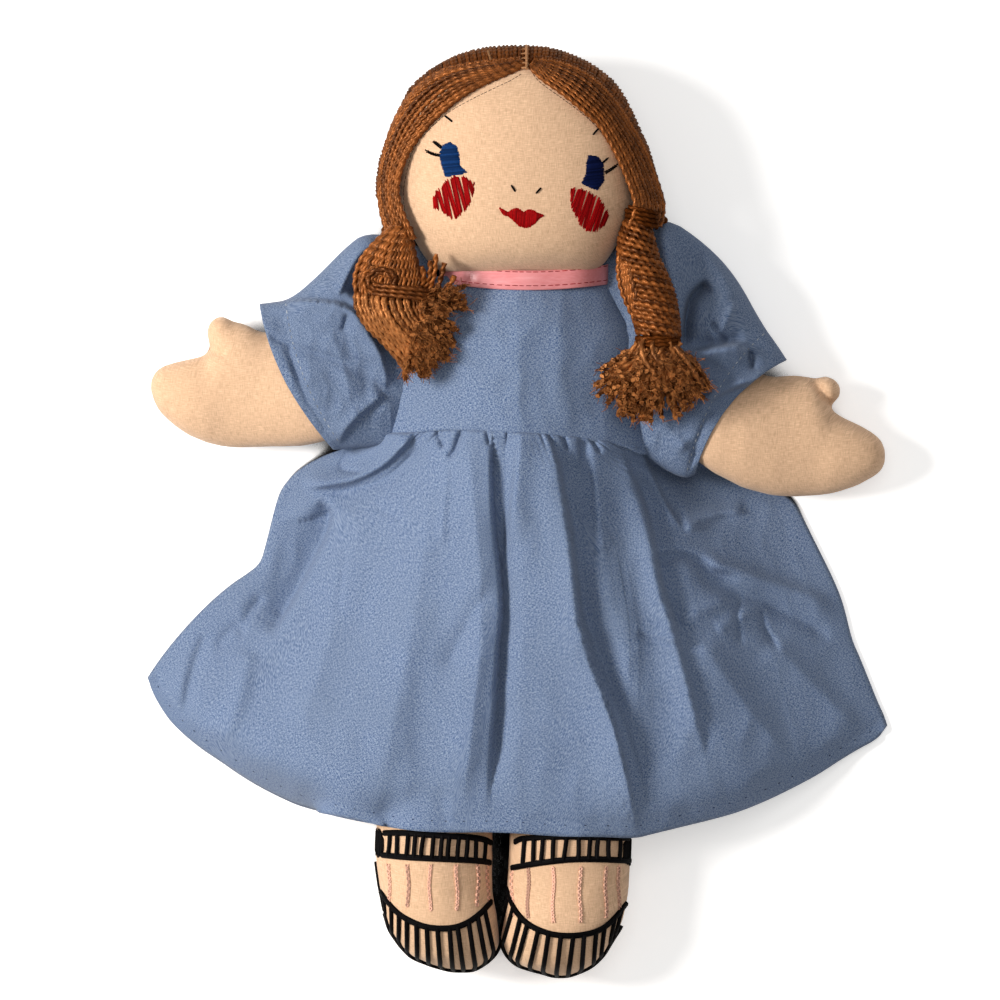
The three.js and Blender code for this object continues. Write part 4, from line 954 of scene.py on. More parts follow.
for side, rows_given in (("right", right_sleeve_rows), ("left", left_sleeve_rows)):
    table = np.array([(*spot(*top), *spot(*low), deep * mm, rise * mm) for top, low, deep, rise in rows_given])
    table = spaced(rounded(table, 2), 92)
    at = np.linspace(0, 1, 92)[:, None]
    turn = np.linspace(0, 2 * math.pi, 231)[None]
    out, up = np.sign(np.cos(turn)) * np.abs(np.cos(turn)) ** 0.9, np.sin(turn)
    middle, reach = (table[:, :2] + table[:, 2:4]) / 2, (table[:, :2] - table[:, 2:4]) / 2
    bow = eased(at, 0.35, 1) * (1 - out ** 2) * (0.0045 if side == "right" else -0.0062)
    outwards = (middle[-1] - middle[-20]) / np.linalg.norm(middle[-1] - middle[-20])
    plan = middle[:, None] + reach[:, None] * out[:, :, None] + bow[:, :, None] * outwards
    points = np.dstack([plan, table[:, 5:6] + table[:, 4:5] * up])
    seen = plan.reshape(-1, 2)
    lift = 1.6 * relief(seen, sleeve_folds[side]) + 0.0014 * rough(seen, 0.012, 7) + 1.3 * creased(seen, 0.012, 9)
    top_side = np.clip(up * 1.4, 0, 1)
    points[:, :, 2] += lift.reshape(points.shape[:2]) * top_side
    arm_top = tops(node_tree(arms[side]), seen, 0).reshape(points.shape[:2])
    points[:, :, 2] = np.where(up > 0, np.maximum(points[:, :, 2], arm_top + 0.0008), points[:, :, 2])
    cuff = eased(at, 0.825, 0.889) * (1 - eased(at, 0.905, 0.952))
    points[:, :, 2] -= 0.0007 * cuff * up
    points[:, :, 2] = np.maximum(points[:, :, 2], 0.0012)
    sleeve = thickened(panel(f"{side}_sleeve_cloth", points, painted_shade_sleeve_chambray))
    line = points[79, 12:104] + np.array((0, 0, 0.00015))
    surface_tree = node_tree(sleeve)
    stitches = stitched(surface_tree, line[:, :2], 0.0009, 0.0016, 0.0001, random.Random(side))
    seam = threads(f"{side}_sleeve_stitches", stitches, 0.00013, floss["cream"])
    inner, outer = (0.047, 0.05, 0.0248), (0.085, 0.05, 0.0248)
    if side == "right":
        inner, outer = (-0.047, 0.05, 0.0248), (-0.085, 0.05, 0.0248)
    for piece in (sleeve, seam):
        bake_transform(piece)
    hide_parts(f"{side}_sleeve")
    sleeves[side] = sleeve

# Neckband: folded pink satin ribbon, stitched down along its lower edge.
satin, tree, surface = shader("pink_satin")
own = tree.nodes.new("ShaderNodeTexCoord").outputs["Object"]
streak = tree.nodes.new("ShaderNodeMapping")
streak.inputs["Scale"].default_value = (60, 1500, 1500)
wire(tree, own, streak.inputs[0])
streaks = fibre(tree, streak.outputs[0], 1.0)
wire(tree, blended(tree, streaks, (0.60, 0.165, 0.17), (0.78, 0.32, 0.335)), surface.inputs["Base Color"])
surface.inputs["Roughness"].default_value = 0.32
surface.inputs["Anisotropic"].default_value = 0.5
bumped(tree, streaks, surface, 0.15, 0.0002)
turn = np.linspace(0, 2 * math.pi, 161)[None]
level = np.linspace(0, 1, 15)[:, None]
x = 0.0316 * np.cos(turn) + 0.0022
facing = eased(np.sin(turn), -0.1, 0.25)
sag = (1 - np.clip((x - 0.004) / 0.034, -1, 1) ** 2) * facing
band_top = 0.0932 - 0.0033 * sag
band_low = 0.0858 - 0.0031 * sag
points = np.dstack([
    x + 0 * level, band_low + (band_top - band_low) * level,
    0.0248 + (0.0185 + 0.0006 * np.sin(level * math.pi)) * np.sin(turn) + 0.0003 * np.sin(turn * 9),
])
ribbon = thickened(panel("neckband", points, satin), 0.0006)
band_tree = node_tree(ribbon)
lines = []
for share in (0.21, 0.93):
    row = points[round(share * 14), 4:77]
    lines += stitched(band_tree, row[:, :2], 0.0017, 0.0009, 0.00008, random.Random(3))
band_stitches = threads("neckband_stitches", lines, 0.00013, floss["red"])
for piece in (ribbon, band_stitches):
    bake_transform(piece)
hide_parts("neck_ribbon")

# Hair: thick two-ply silky yarn, laid strand by strand over the head and sewn down along the parting.
# The strands are laid on a rounded form a little larger than the head, which isn't kept.
def yarn_shader(name, deep, bright, gloss=0.5):
    material, tree, surface = shader(name)
    own = tree.nodes.new("ShaderNodeTexCoord").outputs["Object"]
    strand = tree.nodes.new("ShaderNodeAttribute")
    strand.attribute_name = "strand"
    tone = tree.nodes.new("ShaderNodeMath")
    tone.operation = "MULTIPLY_ADD"
    wire(tree, ranged(tree, fibre(tree, own, 260, 2.0), 0.3, 0.7, -0.3, 0.3), tone.inputs[0])
    tone.inputs[1].default_value = 1.0
    wire(tree, strand.outputs["Fac"], tone.inputs[2])
    colour = blended(tree, ranged(tree, tone.outputs[0], 0.0, 1.0, 0, 1), deep, bright)
    # Pale flecks mixed into the colour: painted highlights, for the glints on the silky yarn.
    painted_highlight = ranged(tree, fibre(tree, own, 1400, 1.0), 0.58, 0.76, 0, 0.3)
    wire(tree, blended(tree, painted_highlight, colour, tuple(min(1, c * 2.3 + 0.02) for c in bright)), surface.inputs["Base Color"])
    surface.inputs["Roughness"].default_value = 0.42
    surface.inputs["Metallic"].default_value = 0.3
    surface.inputs["Specular IOR Level"].default_value = gloss
    surface.inputs["Specular Tint"].default_value = (1, 0.68, 0.4, 1)
    bumped(tree, fibre(tree, own, 2600, 1.0), surface, 0.25, 0.0002)
    return material


copper = yarn_shader("copper_yarn", (0.065, 0.015, 0.0025), (0.30, 0.090, 0.019))
cut_copper = yarn_shader("cut_copper_yarn", (0.08, 0.021, 0.004), (0.46, 0.17, 0.05))
# Painted shade: the same copper yarn made darker, with little gloss, for the back hair and most ties.
painted_shade_copper = yarn_shader("dark_copper_yarn", (0.055, 0.013, 0.002), (0.15, 0.042, 0.008), 0.05)
yarn_radius = 0.00098
yarn_turn = 0.0066

form_rows = [
    (252, 386, 664, 22), (240, 381, 668, 26), (217, 378, 668, 29), (200, 376, 665, 30.4), (180, 376, 658, 30.8),
    (160, 379, 653, 31), (145, 384, 648, 31), (130, 389, 641, 31), (112, 397, 633, 30.2), (100, 403, 627, 28.6),
    (90, 408, 621, 26.4), (80, 417, 613, 23.6), (70, 429, 601, 20), (62, 442, 589, 16.8), (55, 456, 574, 13.2),
    (50, 472, 560, 9.6), (47, 487, 547, 6.4), (45.5, 505, 530, 2.4),
]
form_table = np.array([
    (spot(0, y)[1], (spot(left, y)[0] + spot(right, y)[0]) / 2, (right - left) / 2 * square, deep * mm)
    for y, left, right, deep in form_rows
])


def hair_form(u, v):
    level = form_table[0, 0] + (form_table[-1, 0] - form_table[0, 0]) * math.sin(v * math.pi / 2)
    middle, half, deep = (np.interp(level, form_table[:, 0], form_table[:, k]) for k in (1, 2, 3))
    turn = 2 * math.pi * u
    return Vector((middle + half * math.cos(turn), level, head_z * mm + deep * math.sin(turn)))


bm = wrapped(96, 64, hair_form)
bmesh.ops.holes_fill(bm, edges=bm.edges, sides=98)
bmesh.ops.recalc_face_normals(bm, faces=bm.faces)
form = BVHTree.FromBMesh(bm)
bm.free()


def on_form(points, sink):
    """Points moved to the nearest place on the hair form, sunk below it."""
    laid_out = []
    for point in points:
        hit, normal, _, _ = form.find_nearest(Vector(point))
        laid_out.append(hit - normal * sink)
    return np.array(laid_out)


def combed(line, step=0.0011):
    """The line rounded and evenly spaced, for a strand of yarn."""
    line = rounded(np.asarray(line, float), 2)
    length = np.linalg.norm(np.diff(line, axis=0), axis=1).sum()
    return spaced(line, max(4, int(length / step)))


def over_front(x, y, sink):
    """A point of the form's front seen at a place on the grid."""
    flat_x, flat_y = spot(x, y)
    hit = form.ray_cast((flat_x, flat_y, 1), (0, 0, -1))[0]
    if hit is None:
        hit = form.find_nearest((flat_x, flat_y, head_z * mm))[0]
    return np.array((hit.x, hit.y, hit.z - sink))


def across_lines(inner, outer, count, sink, chance, wander=0.0):
    """Strands between two lines on the grid, laid on the form."""
    first, last = spaced(rounded(np.array(inner, float)), 44), spaced(rounded(np.array(outer, float)), 44)
    made = []
    for k in range(count):
        share = k / (count - 1)
        drift = wander * (chance.random() - 0.5)
        line = first * (1 - share) + last * share + drift * np.sin(np.linspace(0, math.pi, 44))[:, None]
        depth = sink + 0.0005 * chance.random()
        made.append(combed([over_front(x, y, depth) for x, y in line]))
    return made


front_hair = {
    "right": (
        ((525, 66), (518, 71), (499, 79), (477, 88.5), (461, 98), (446, 109.5), (432, 122), (420, 135), (410, 149), (402, 166), (398, 180), (397, 194), (401, 210), (408, 226), (415, 240)),
        ((520, 62), (505, 64), (490, 65), (466, 68), (446, 72), (430, 80), (415, 92), (404, 106), (395, 122), (388, 142), (383, 160), (379, 188), (381, 212), (386, 228), (390, 240)),
    ),
    "left": (
        ((529, 68), (535, 74), (543, 82), (556, 90), (570, 101), (583, 112), (597, 124), (606, 138), (616, 156), (624, 174), (631, 192), (635, 204), (634, 215), (628, 228)),
        ((534, 62), (548, 61), (562, 64), (580, 71), (594, 80), (606, 92), (618, 106), (628, 122), (638, 138), (648, 158), (655, 178), (661, 196), (664, 209), (660, 226)),
    ),
}
for side, (inner, outer) in front_hair.items():
    chance = random.Random(side)
    lines = across_lines(inner, outer, 9, 0.0006, chance, 2.0) + across_lines(inner, outer, 9, 0.0019, chance, 5.0)
    ridge = np.array(outer, float)
    lines += across_lines(ridge + (0, 1), ridge - (0, 2), 2, 0.0004, chance)
    piece = threads(f"{side}_front_strands", lines, yarn_radius * 0.9, copper, sides=8, turn=yarn_turn, lobes=0.24)
    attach(piece, "head")
    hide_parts(f"{side}_front_hair")

# Back hair: starts behind the front strands, goes over the crown and down the back to the two ties.
ridge_line = spaced(rounded(np.array((
    (386, 205), (382, 180), (387, 150), (398, 118), (412, 94), (430, 80), (446, 73), (466, 69), (490, 66), (515, 65),
    (527, 64), (548, 63), (562, 66), (580, 73), (596, 83), (612, 102), (626, 122), (640, 148), (650, 180), (656, 205),
), float)), 118)
lines = []
chance = random.Random(21)
for layer, sink in ((0, 0.0009), (1, 0.0024)):
    for k, (x, y) in enumerate(ridge_line):
        if layer and k % 2:
            continue
        share = (k + 0.5 * layer) / (len(ridge_line) - 1) * 2 - 1
        if k == len(ridge_line) - 1 and layer:
            continue
        x0, y0 = x + 1.2 * (chance.random() - 0.5), y + 2.4 * (chance.random() - 0.5)
        start = over_front(x0, y0, sink)
        sign = -1 if share < 0 else 1
        tie = Vector((sign * 0.0455, 0.1035 if sign < 0 else 0.109, 0.031))
        reach = abs(share)
        crown = start + np.array((0.0, 0.012, -0.006)) * (1 - 0.6 * reach) + np.array((sign * 0.012 * reach, 0, 0))
        crown[2] = head_z * mm
        high = (crown[0] * 0.97, crown[1] - 0.012 * (1 - reach) - 0.002, head_z * mm * 0.32)
        low = (
            sign * (0.005 + 0.043 * reach ** 0.8), 0.119 + 0.012 * reach - 0.014 * (1 - reach) ** 2,
            head_z * mm * (0.05 + 0.5 * reach ** 2),
        )
        inner_tie = (sign * (0.026 + 0.022 * reach), 0.1065 + 0.008 * reach, head_z * mm * (0.16 + 0.5 * reach))
        line = rounded(np.array((start, crown, high, low, inner_tie, tie)), 3)
        lines.append(combed(on_form(spaced(line, 80), sink), 0.0015))
# The back strands use the copper yarn with painted shade.
piece = threads("back_strands", lines, yarn_radius * 1.08, painted_shade_copper, sides=6, turn=yarn_turn, lobes=0.2)
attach(piece, "head")
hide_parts("back_hair")

# Parting: a line of tan stitches from front to back across the crown, over a long thread of the same tan yarn.
lines = []
for k in range(9):
    y = 50 + 2.4 * k
    if k % 2 == 0:
        lines.append(combed([over_front(525 + 3.4 * s, y + 1.2 * s * s, -0.0002 + 0.0008 * abs(s)) for s in (-1, -0.5, 0, 0.5, 1)], 0.0005))
lines.append(combed([over_front(526.5, y, -0.0004) for y in np.linspace(46, 71, 10)], 0.0006))
lines.append(combed([over_front(488 + 0.6 * k, 52 + 2 * k, 0.0) for k in range(6)], 0.0006))
piece = threads("parting_thread", lines, 0.0005, yarn_shader("tan_yarn", (0.22, 0.10, 0.04), (0.42, 0.21, 0.10), 0.1), sides=6, turn=0.003, lobes=0.15)
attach(piece, "head")
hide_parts("parting_stitches")

# Ties: a few turns of yarn round each bunch at the head, and round the loop above each tassel.
def coils(centre, wide, deep, turns, pitch, slope=0.0):
    angle = np.linspace(0, 2 * math.pi * turns, int(40 * turns))
    x = centre[0] + wide * np.cos(angle)
    y = centre[1] + pitch * (angle / (2 * math.pi) - turns / 2) + slope * np.cos(angle)
    return combed(np.stack([x, y, centre[2] + deep * np.sin(angle)], 1), 0.0009)


def tied(name, node, body, lines, material):
    piece = threads(name, lines, yarn_radius * 0.9, material, sides=8, turn=yarn_turn, lobes=0.2)
    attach(piece, body)
    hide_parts(node)


# Three of the ties use the copper yarn with painted shade; the right loop's tie uses the plain copper yarn.
tied("right_bunch_tie", "right_pigtail_tie", "right_tie", [coils((-0.0458, 0.1015, 0.041), 0.0052, 0.0052, 2.6, 0.0016, 0.001)], painted_shade_copper)
tied("left_bunch_tie", "left_pigtail_tie", "left_tie", [coils((0.0462, 0.11, 0.0448), 0.0056, 0.0056, 3.4, 0.0017, -0.001)], painted_shade_copper)
tied("right_loop_tie", "right_tassel_tie", "right_pigtail", [coils((-0.0425, 0.0820, 0.0452), 0.0135, 0.0095, 3, 0.0016, -0.0012)], copper)
tied("left_loop_tie", "left_tassel_tie", "left_pigtail", [coils((0.0522, 0.0640, 0.0452), 0.0078, 0.0065, 3.3, 0.0014, 0.0006)], painted_shade_copper)


def grid_line(points, height, chance, spread_by):
    """A strand given as grid places with heights in mm, moved a little by chance."""
    shift = np.array([chance.gauss(0, spread_by) for _ in range(2)])
    return combed([(*spot(x + shift[0], y + shift[1]), (z + height) * mm) for x, y, z in points])


# Right bunch: the yarn curls outwards into a loop, is tied across, and ends in a cut tassel.
chance = random.Random(31)
lines = []
for layer, height in ((0, 0.0), (1, 2.4)):
    for k in range(20):
        share = (k + 0.5 * layer) / 20
        lines.append(grid_line((
            (410 - 19 * share, 228, 41), (412 - 40 * share, 245, 43), (416 - 58 * share, 262, 44), (421 - 68 * share, 279, 44),
            (422 - 68 * share, 292, 44), (426 - 64 * share, 303, 43),
        ), height + 3.6 * math.sin(math.pi * (0.12 + 0.76 * share)), chance, 0.6))
for reach, rise in ((17, 5.6), (12.5, 6.8), (8.5, 6.2), (4.8, 4.6)):
    angle = np.linspace(0.2, 2 * math.pi + 0.9, 26)
    lines.append(combed([
        (*spot(382 + reach * 1.12 * math.cos(a), 281 - reach * 0.86 * math.sin(a)), (44 + rise) * mm) for a in angle
    ]))
for x, y, tip_x, tip_y in ((430, 292, 437, 254), (426, 290, 430, 262), (436, 294, 446, 264), (440, 296, 455, 276), (424, 288, 423, 268)):
    lines.append(grid_line(((x - 14, y + 4, 42), (x, y, 47), ((x + tip_x) / 2 + 2, (y + tip_y) / 2, 51), (tip_x, tip_y, 52)), 0, chance, 0.8))
piece = threads("right_bunch", lines, yarn_radius, copper, sides=8, turn=yarn_turn, lobes=0.27)
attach(piece, "right_pigtail")
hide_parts("right_pigtail")


def tassel(name, node, body, lines, fuzz, chance):
    """Cut strands with loose fibres at their ends."""
    ends = []
    for line in lines:
        tip, ahead = line[-1], line[-1] - line[-3]
        ahead /= np.linalg.norm(ahead)
        for _ in range(fuzz):
            away = np.array([chance.gauss(0, 0.7) for _ in range(3)]) + ahead
            length = 0.0010 + 0.0016 * chance.random()
            base = tip + np.array([chance.gauss(0, 0.0004) for _ in range(3)]) - ahead * 0.0006
            bend = np.array([chance.gauss(0, 0.0004) for _ in range(3)])
            ends.append(np.stack([base, base + away * length * 0.5 + bend, base + away * length]))
    piece = threads(name, lines, yarn_radius * 0.95, cut_copper, sides=6, turn=yarn_turn, lobes=0.25)
    loose = threads(name + "_ends", ends, 0.00013, cut_copper, sides=3)
    for made in (piece, loose):
        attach(made, body)
    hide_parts(node)


chance = random.Random(32)
lines = []
for layer, height in ((0, 2.6), (1, -0.6)):
    for k in range(21):
        share = (k + 0.5 * layer) / 20
        lines.append(grid_line((
            (356 + 70 * share, 290 + 6 * math.sin(3 * share), 43 + 5 * math.sin(math.pi * share)),
            (354 + 72 * share, 306 + 2 * share, 45 + 5 * math.sin(math.pi * share)),
            (364 + 70 * share, 326 - 4 * share, 45 + 5 * math.sin(math.pi * share)),
            (385 + 60 * share, 346 - 14 * share, 44 + 4.5 * math.sin(math.pi * share)),
            (404 + 46 * share + 4 * chance.random(), 366 - 28 * share + 8 * chance.random(), 43 + 4 * math.sin(math.pi * share)),
        ), height + chance.random(), chance, 0.9))
for k in range(125):
    share = chance.random()
    y = 288 + 90 * share
    left_x, right_x = np.interp(y, (285, 300, 340, 378), (440, 424, 410, 402)), np.interp(y, (285, 320, 335, 360, 378), (464, 463, 457, 448, 420))
    side_share = chance.random()
    x = left_x + (right_x - left_x) * side_share
    high = 52.5 - 6 * side_share ** 2 - 4 * abs(share - 0.4) + 1.5 * chance.random()
    start = (404 + 18 * chance.random(), 297 + 10 * chance.random(), 43)
    middle = (0.45 * start[0] + 0.55 * x, 0.45 * start[1] + 0.55 * y, high - 4)
    lines.append(grid_line((start, middle, (x, y, high - 1.2), (x + 2.5 * side_share, y + 3 * share - 1, high + 0.9)), 0, chance, 0.4))
tassel("right_tassel_yarn", "right_tassel", "right_pigtail", lines, 7, chance)

# Left bunch: wound crosswise round itself into a rope, with a few strands lying along its inner side.
rope = np.array([
    (637, 222, 14, 42.5), (636, 240, 19, 43.5), (638, 258, 22, 44.2), (643, 275, 25.5, 44.6), (648, 292, 27, 44.8),
    (653, 308, 25.5, 45), (656, 322, 24, 45.2), (658, 336, 22.5, 45.2),
], float)
chance = random.Random(41)
lines = []
starts, turns = 5, 4.7
for k in range(starts):
    steps = np.linspace(0, 1, 220)
    at = np.stack([np.interp(steps, np.linspace(0, 1, len(rope)), rope[:, c]) for c in range(4)], 1)
    at = np.stack([np.convolve(np.pad(at[:, c], 8, "edge"), np.ones(17) / 17, "valid") for c in range(4)], 1)
    angle = -2 * math.pi * (turns * steps + k / starts) + 0.12 * np.sin(steps * 40 + k)
    x, y = (at[:, 0] - grid_x) * square, (grid_y - at[:, 1]) * square
    wide = (at[:, 2] - 2.4) * square
    lean = -0.0006 * np.cos(angle)
    line = np.stack([x + wide * np.cos(angle), y + lean, at[:, 3] * mm + 0.0078 * np.sin(angle)], 1)
    lines.append(combed(line))
for k in range(6):
    lines.append(grid_line((
        (623 + 1.5 * k, 244, 44), (618 + 2.2 * k, 262, 46 + 0.7 * k), (619 + 2.4 * k, 282, 46 + 0.9 * k),
        (625 + 2.4 * k, 300, 46 + 0.9 * k), (636 + 1.6 * k, 322, 46),
    ), 1.2, chance, 0.5))
piece = threads("left_bunch", lines, yarn_radius * 1.05, copper, sides=8, turn=yarn_turn, lobes=0.27)
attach(piece, "left_pigtail")
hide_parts("left_pigtail")

chance = random.Random(43)
lines = []
for k in range(250):
    turn = 2 * math.pi * chance.random()
    reach = math.sqrt(chance.random())
    tip_x, tip_y = 651 + 55 * reach * math.cos(turn), 383 + 36 * reach * math.sin(turn)
    if tip_y < 352:
        continue
    high = 53 - 9 * reach ** 2 + 1.6 * chance.random()
    start = (656 + chance.gauss(0, 8), 343, 45 + chance.gauss(0, 2.2))
    middle = (start[0] * 0.45 + tip_x * 0.55, start[1] * 0.45 + tip_y * 0.55, 0.4 * 45 + 0.6 * high - 1)
    last = (tip_x + 2.6 * reach * math.cos(turn), tip_y + 1.5 + 2 * reach * math.sin(turn), high + 1.0)
    lines.append(grid_line((start, middle, (tip_x, tip_y, high - 1.2), last), 0, chance, 0.4))
for points in (
    ((643, 340, 50), (640, 350, 53), (645, 364, 54), (654, 374, 54)), ((652, 340, 51), (651, 352, 54), (657, 362, 55), (662, 364, 55)),
    ((668, 342, 49), (682, 356, 51), (694, 374, 50), (702, 388, 48)), ((672, 344, 48), (690, 360, 49), (704, 376, 47), (708, 384, 46)),
):
    lines.append(grid_line(points, 0, chance, 0.2))
tassel("left_tassel_yarn", "left_tassel", "left_pigtail", lines, 5, chance)

# Face: filled shapes and short stitches in stranded cotton, worked on the flat front of the head.
head_tree = node_tree(head)


def hatched(tree, outline, angle, gap, above, chance, ragged=0.0002, skip=None):
    """Satin stitch: side by side threads that fill an outline on the grid, at an angle."""
    corners = np.array([spot(x, y) for x, y in outline])
    along = np.array((math.cos(math.radians(angle)), math.sin(math.radians(angle))))
    across = np.array((-along[1], along[0]))
    run, rise = corners @ along, corners @ across
    made = []
    for level in np.arange(rise.min() + gap / 2, rise.max(), gap):
        cuts = []
        for k in range(len(corners)):
            a, b = k, (k + 1) % len(corners)
            if (rise[a] > level) != (rise[b] > level):
                share = (level - rise[a]) / (rise[b] - rise[a])
                cuts.append(run[a] + share * (run[b] - run[a]))
        cuts.sort()
        for low, high in zip(cuts[::2], cuts[1::2]):
            low -= ragged * chance.random()
            high += ragged * chance.random()
            if skip and int((level - rise.min()) / skip[0]) >= 0 and ((level - rise.min()) % skip[0]) > skip[1]:
                continue
            tilt = gap * 0.5 * (chance.random() - 0.5)
            if skip:
                tilt += skip[2] * (1 if int((level - rise.min()) / skip[0]) % 2 else -1)
            stops = np.linspace(low, high, max(4, int((high - low) / 0.0008)))
            line = along[None] * stops[:, None] + across[None] * (level + np.linspace(-tilt, tilt, len(stops)))[:, None]
            found = lain(tree, line, above)
            found[[0, -1], 2] -= above * 2
            made.append(found)
    return made


def single(tree, points, above=0.0003):
    line = spaced(rounded(np.array([spot(x, y) for x, y in points]), 1), 7)
    found = lain(tree, line, above)
    found[[0, -1], 2] -= above * 1.6
    return found


def sewn(name, node, body, lines, radius, colour, lobes=0.0):
    piece = threads(name, lines, radius, floss[colour], sides=6, turn=0.0022 if lobes else 0.0, lobes=lobes)
    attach(piece, body)
    if node:
        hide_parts(node)
    return piece


chance = random.Random(51)
right_eye = ((450, 144), (457, 148), (459.5, 157), (460, 167), (468, 175), (458, 176.5), (446, 178.5), (441.5, 165), (440, 155), (443, 147))
left_eye = ((588, 157), (597, 158), (602.5, 165), (603.5, 182), (597, 191.5), (590, 189.5), (581, 185), (585.5, 175), (586, 165))
sewn("right_iris", "right_eye", "head", hatched(head_tree, right_eye, 4, 0.00040, 0.00022, chance), 0.00027, "blue")
sewn("left_iris", "left_eye", "head", hatched(head_tree, left_eye, 8, 0.00040, 0.00022, chance), 0.00027, "navy")
lashes = [
    single(head_tree, ((433.5, 143.5), (437, 146.5), (441.5, 150))), single(head_tree, ((434.5, 142.8), (438, 145.5), (442, 149))),
    single(head_tree, ((426, 151.5), (433, 155), (440.5, 156.5))), single(head_tree, ((427, 153.5), (434, 156.8), (441, 158))),
    single(head_tree, ((602, 164.5), (605, 162), (607.5, 159.5))),
    single(head_tree, ((604, 173.5), (610, 170.5), (616.5, 165.5))), single(head_tree, ((605, 175), (611, 171.5), (616, 167.5))),
]
sewn("lashes", None, "head", lashes, 0.00042, "black", 0.12)
sewn("right_brow_stitch", "right_brow", "head", [single(head_tree, ((445, 117.5), (452.5, 123.5)))], 0.00036, "black")
sewn("left_brow_stitch", "left_brow", "head", [single(head_tree, ((592.5, 136.5), (599.5, 128.5)))], 0.00036, "black")
sewn("right_nostril", "right_nose_stitch", "head", [single(head_tree, ((511.5, 187.5), (515, 193)))], 0.00040, "black")
sewn("left_nostril", "left_nose_stitch", "head", [single(head_tree, ((540.5, 190), (536, 195)))], 0.00038, "black")
right_cheek = ((453, 179.5), (460, 179), (468, 181), (474.5, 186), (473, 195), (470, 205), (462, 214), (454, 219.5), (444, 214), (434, 207), (432.5, 200), (440, 191), (447, 184))
left_cheek = ((570.5, 191), (581, 192.5), (590, 196), (598, 201), (604, 209), (607.5, 218), (605, 226), (597, 230), (588, 231.5), (581, 226), (573, 212), (570, 201))
sewn("right_blush", "right_cheek", "head", hatched(head_tree, right_cheek, -76, 0.00037, 0.00024, chance, 0.0011, (0.00205, 0.0017, 0.00026)), 0.00026, "red")
sewn("left_blush", "left_cheek", "head", hatched(head_tree, left_cheek, 72, 0.00037, 0.00024, chance, 0.0011, (0.00205, 0.00185, 0.00018)), 0.00026, "red")
lips = ((499.5, 209.5), (503, 211), (508, 214), (511, 211.5), (516, 209.5), (520, 211), (523.5, 214), (527, 211.5), (531, 211), (537, 214), (543.5, 217), (539, 220.5), (535.5, 224.5), (530, 228.5), (525, 229.5), (519, 227.5), (513, 222), (508, 218), (503.5, 216.5), (501, 213))
sewn("lips", "mouth", "head", hatched(head_tree, lips, 86, 0.00038, 0.00024, chance), 0.00027, "red")
for name, path in (
    ("right", ((521, 76), (510, 83), (498, 88.5), (472, 101), (449, 113.5), (437, 124), (423, 137), (413, 150), (407, 171), (403, 194), (405, 213), (410, 230))),
    ("left", ((533, 76), (537, 82), (547, 90), (560, 99), (575, 110), (590, 122), (602, 135), (610, 148))),
):
    lines = stitched(head_tree, laid(*path, count=120), 0.0011, 0.0005, 0.00006, chance)
    sewn(f"{name}_hairline_stitches", None, "head", lines, 0.00011, "black")

# Shoes: a strap and a striped toe on each foot in black back stitch, with lines of pink chain stitch.
shoes = {
    "right": dict(
        strap=(((384, 833), (400, 832), (440, 835), (470, 836.5), (485, 839.5), (491, 843)), ((382, 855), (410, 857), (450, 858.5), (480, 860.5), (490, 863))),
        bars=12, vamp=((380, 891), (390, 905), (400, 915), (415, 923), (430, 927.5), (450, 928), (465, 924), (480, 914), (491, 902)),
        toe=((384, 914), (390, 930), (400, 945), (411, 956), (430, 965), (450, 969), (465, 970), (478, 967), (489, 959), (499, 942)),
        stripes=12, pink=(389, 408, 430, 457, 478, 488), low=(864, 912), button=((378.5, 843), (5.2, 14.5)),
        foot=((376, 862), (378, 884), (383, 912)),
    ),
    "left": dict(
        strap=(((515, 842), (520, 838.5), (540, 836.5), (570, 836), (600, 837), (631, 838.5)), ((512, 868), (525, 865), (545, 861.5), (570, 858.5), (600, 858.5), (630, 861))),
        bars=10, vamp=((507, 889), (512, 905), (520, 917), (530, 925.5), (545, 932), (560, 935), (580, 935), (600, 930.5), (613, 920), (627, 903)),
        toe=((502, 925), (501, 941), (510, 959), (521, 968), (538, 973), (550, 977), (562, 977), (576, 974), (590, 968), (603, 955), (613, 938), (621, 926)),
        stripes=13, pink=(512, 528, 553, 580, 606, 619), low=(866, 924), button=((628.5, 852), (6, 13.5)),
        foot=((508, 870), (506, 880), (506, 890)),
    ),
}
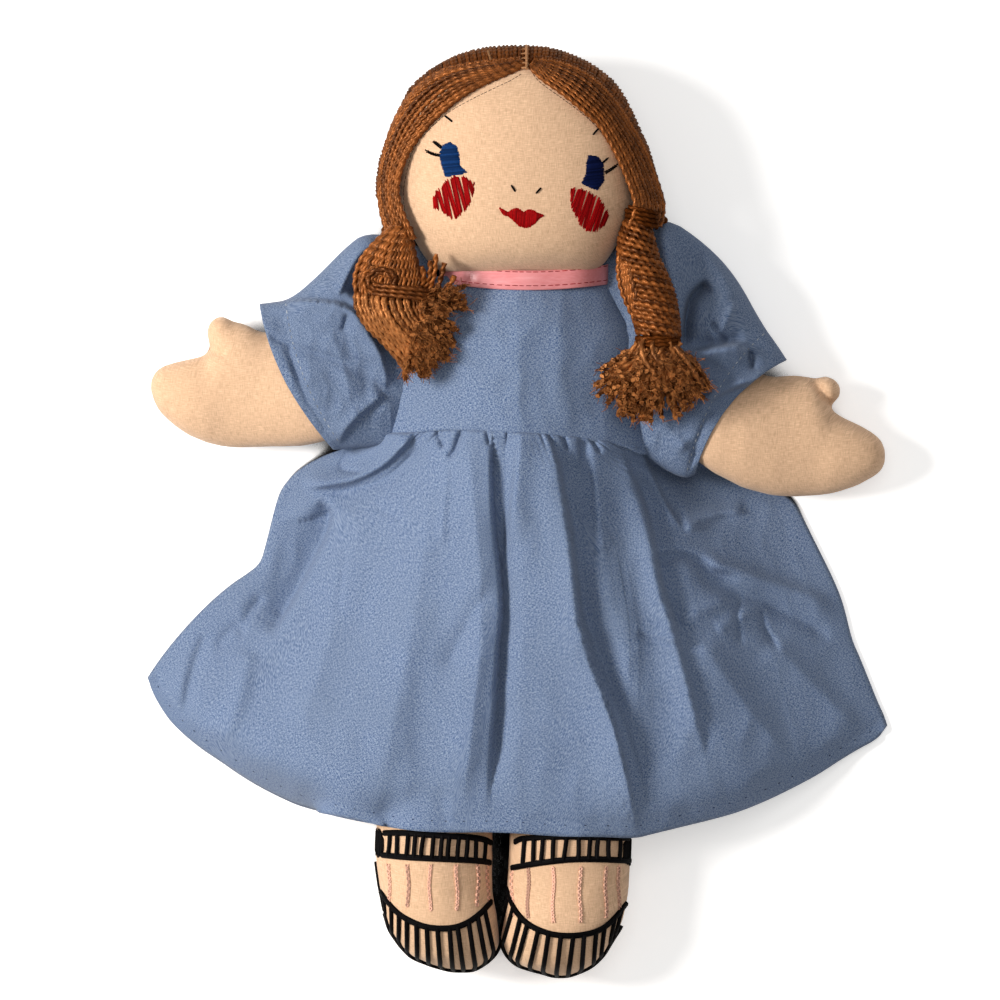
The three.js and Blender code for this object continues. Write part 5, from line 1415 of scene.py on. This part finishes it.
for side, shoe in shoes.items():
    leg_tree = node_tree(legs[side])
    chance = random.Random(side)
    upper, lower = (laid(*row, count=90) for row in shoe["strap"])
    strap = [lain(leg_tree, row + (0, shift), 0.0005) for row in (upper, lower) for shift in (-0.0003, 0.0003)]
    for k in range(shoe["bars"]):
        share = (k + 0.8 + 0.35 * (chance.random() - 0.5)) / (shoe["bars"] + 0.6)
        a = upper[min(89, int(share * 89))]
        b = lower[min(89, max(0, int((share + 0.012 * (chance.random() - 0.5)) * 89)))]
        bend = np.array((0.0004 * (chance.random() - 0.5), 0)) * np.sin(np.linspace(0, math.pi, 8))[:, None]
        strap.append(lain(leg_tree, np.linspace(a, b, 8) + bend, 0.0007))
    sewn(f"{side}_strap", f"{side}_shoe_strap", f"{side}_leg", strap, 0.00086, "black")
    (x, y), (wide, tall) = shoe["button"]
    oval = [(x + wide * math.cos(t), y + tall * math.sin(t)) for t in np.linspace(0, 2 * math.pi, 20)[:-1]]
    sewn(f"{side}_button", None, f"{side}_leg", hatched(leg_tree, oval, 88, 0.0006, 0.0007, chance), 0.00045, "black")
    vamp, toe = laid(*shoe["vamp"], count=100), laid(*shoe["toe"], count=100)
    lines = [lain(leg_tree, vamp + (0, shift), 0.0005) for shift in (-0.0003, 0.0003)]
    for k in range(shoe["stripes"]):
        share = (k + 0.7 + 0.2 * (chance.random() - 0.5)) / (shoe["stripes"] + 0.4)
        a, b = vamp[int(share * 99)], toe[min(99, max(0, int((share + 0.02 * (chance.random() - 0.5)) * 99)))]
        found = []
        for point in np.linspace(a, b, 16):
            hit = leg_tree.ray_cast((point[0], point[1], 1), (0, 0, -1))[0]
            if hit:
                found.append((hit.x, hit.y, hit.z + 0.0008))
        last = found[-1]
        rim = leg_tree.find_nearest((last[0], last[1] - 0.004, 0.02))[0]
        found.append((rim.x, rim.y - 0.0003, rim.z))
        lines.append(spaced(rounded(np.array(found), 1), 24))
    lines.append(lain(leg_tree, laid(*shoe["foot"], count=12), 0.0003))
    around = []
    for point in laid(*shoe["toe"], count=60):
        hit, normal, _, _ = leg_tree.find_nearest((point[0], point[1], 0.0185))
        around.append(hit + normal * 0.0004)
    lines.append(np.array(around))
    sewn(f"{side}_toe", f"{side}_shoe_toe", f"{side}_leg", lines, 0.00092, "black")
    chains = []
    for x in shoe["pink"]:
        reach = np.linspace(shoe["low"][0], shoe["low"][1] - 8 * abs(x - np.mean(shoe["pink"])) / 50, 110)
        for phase in (0, math.pi):
            line = np.array([spot(x + 1.25 * math.sin(0.95 * y + phase) + 0.8 * math.sin(0.13 * y + x), y) for y in reach])
            chains.append(lain(leg_tree, line, 0.0003))
    sewn(f"{side}_chain_stitches", None, f"{side}_leg", chains, 0.00030, "pink")

# Sizes of the doll and of its laid-out form.

sizes = {
    "cad": [list(cad_low), list(cad_high)],
    "visual": [list(corner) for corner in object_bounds()],
}
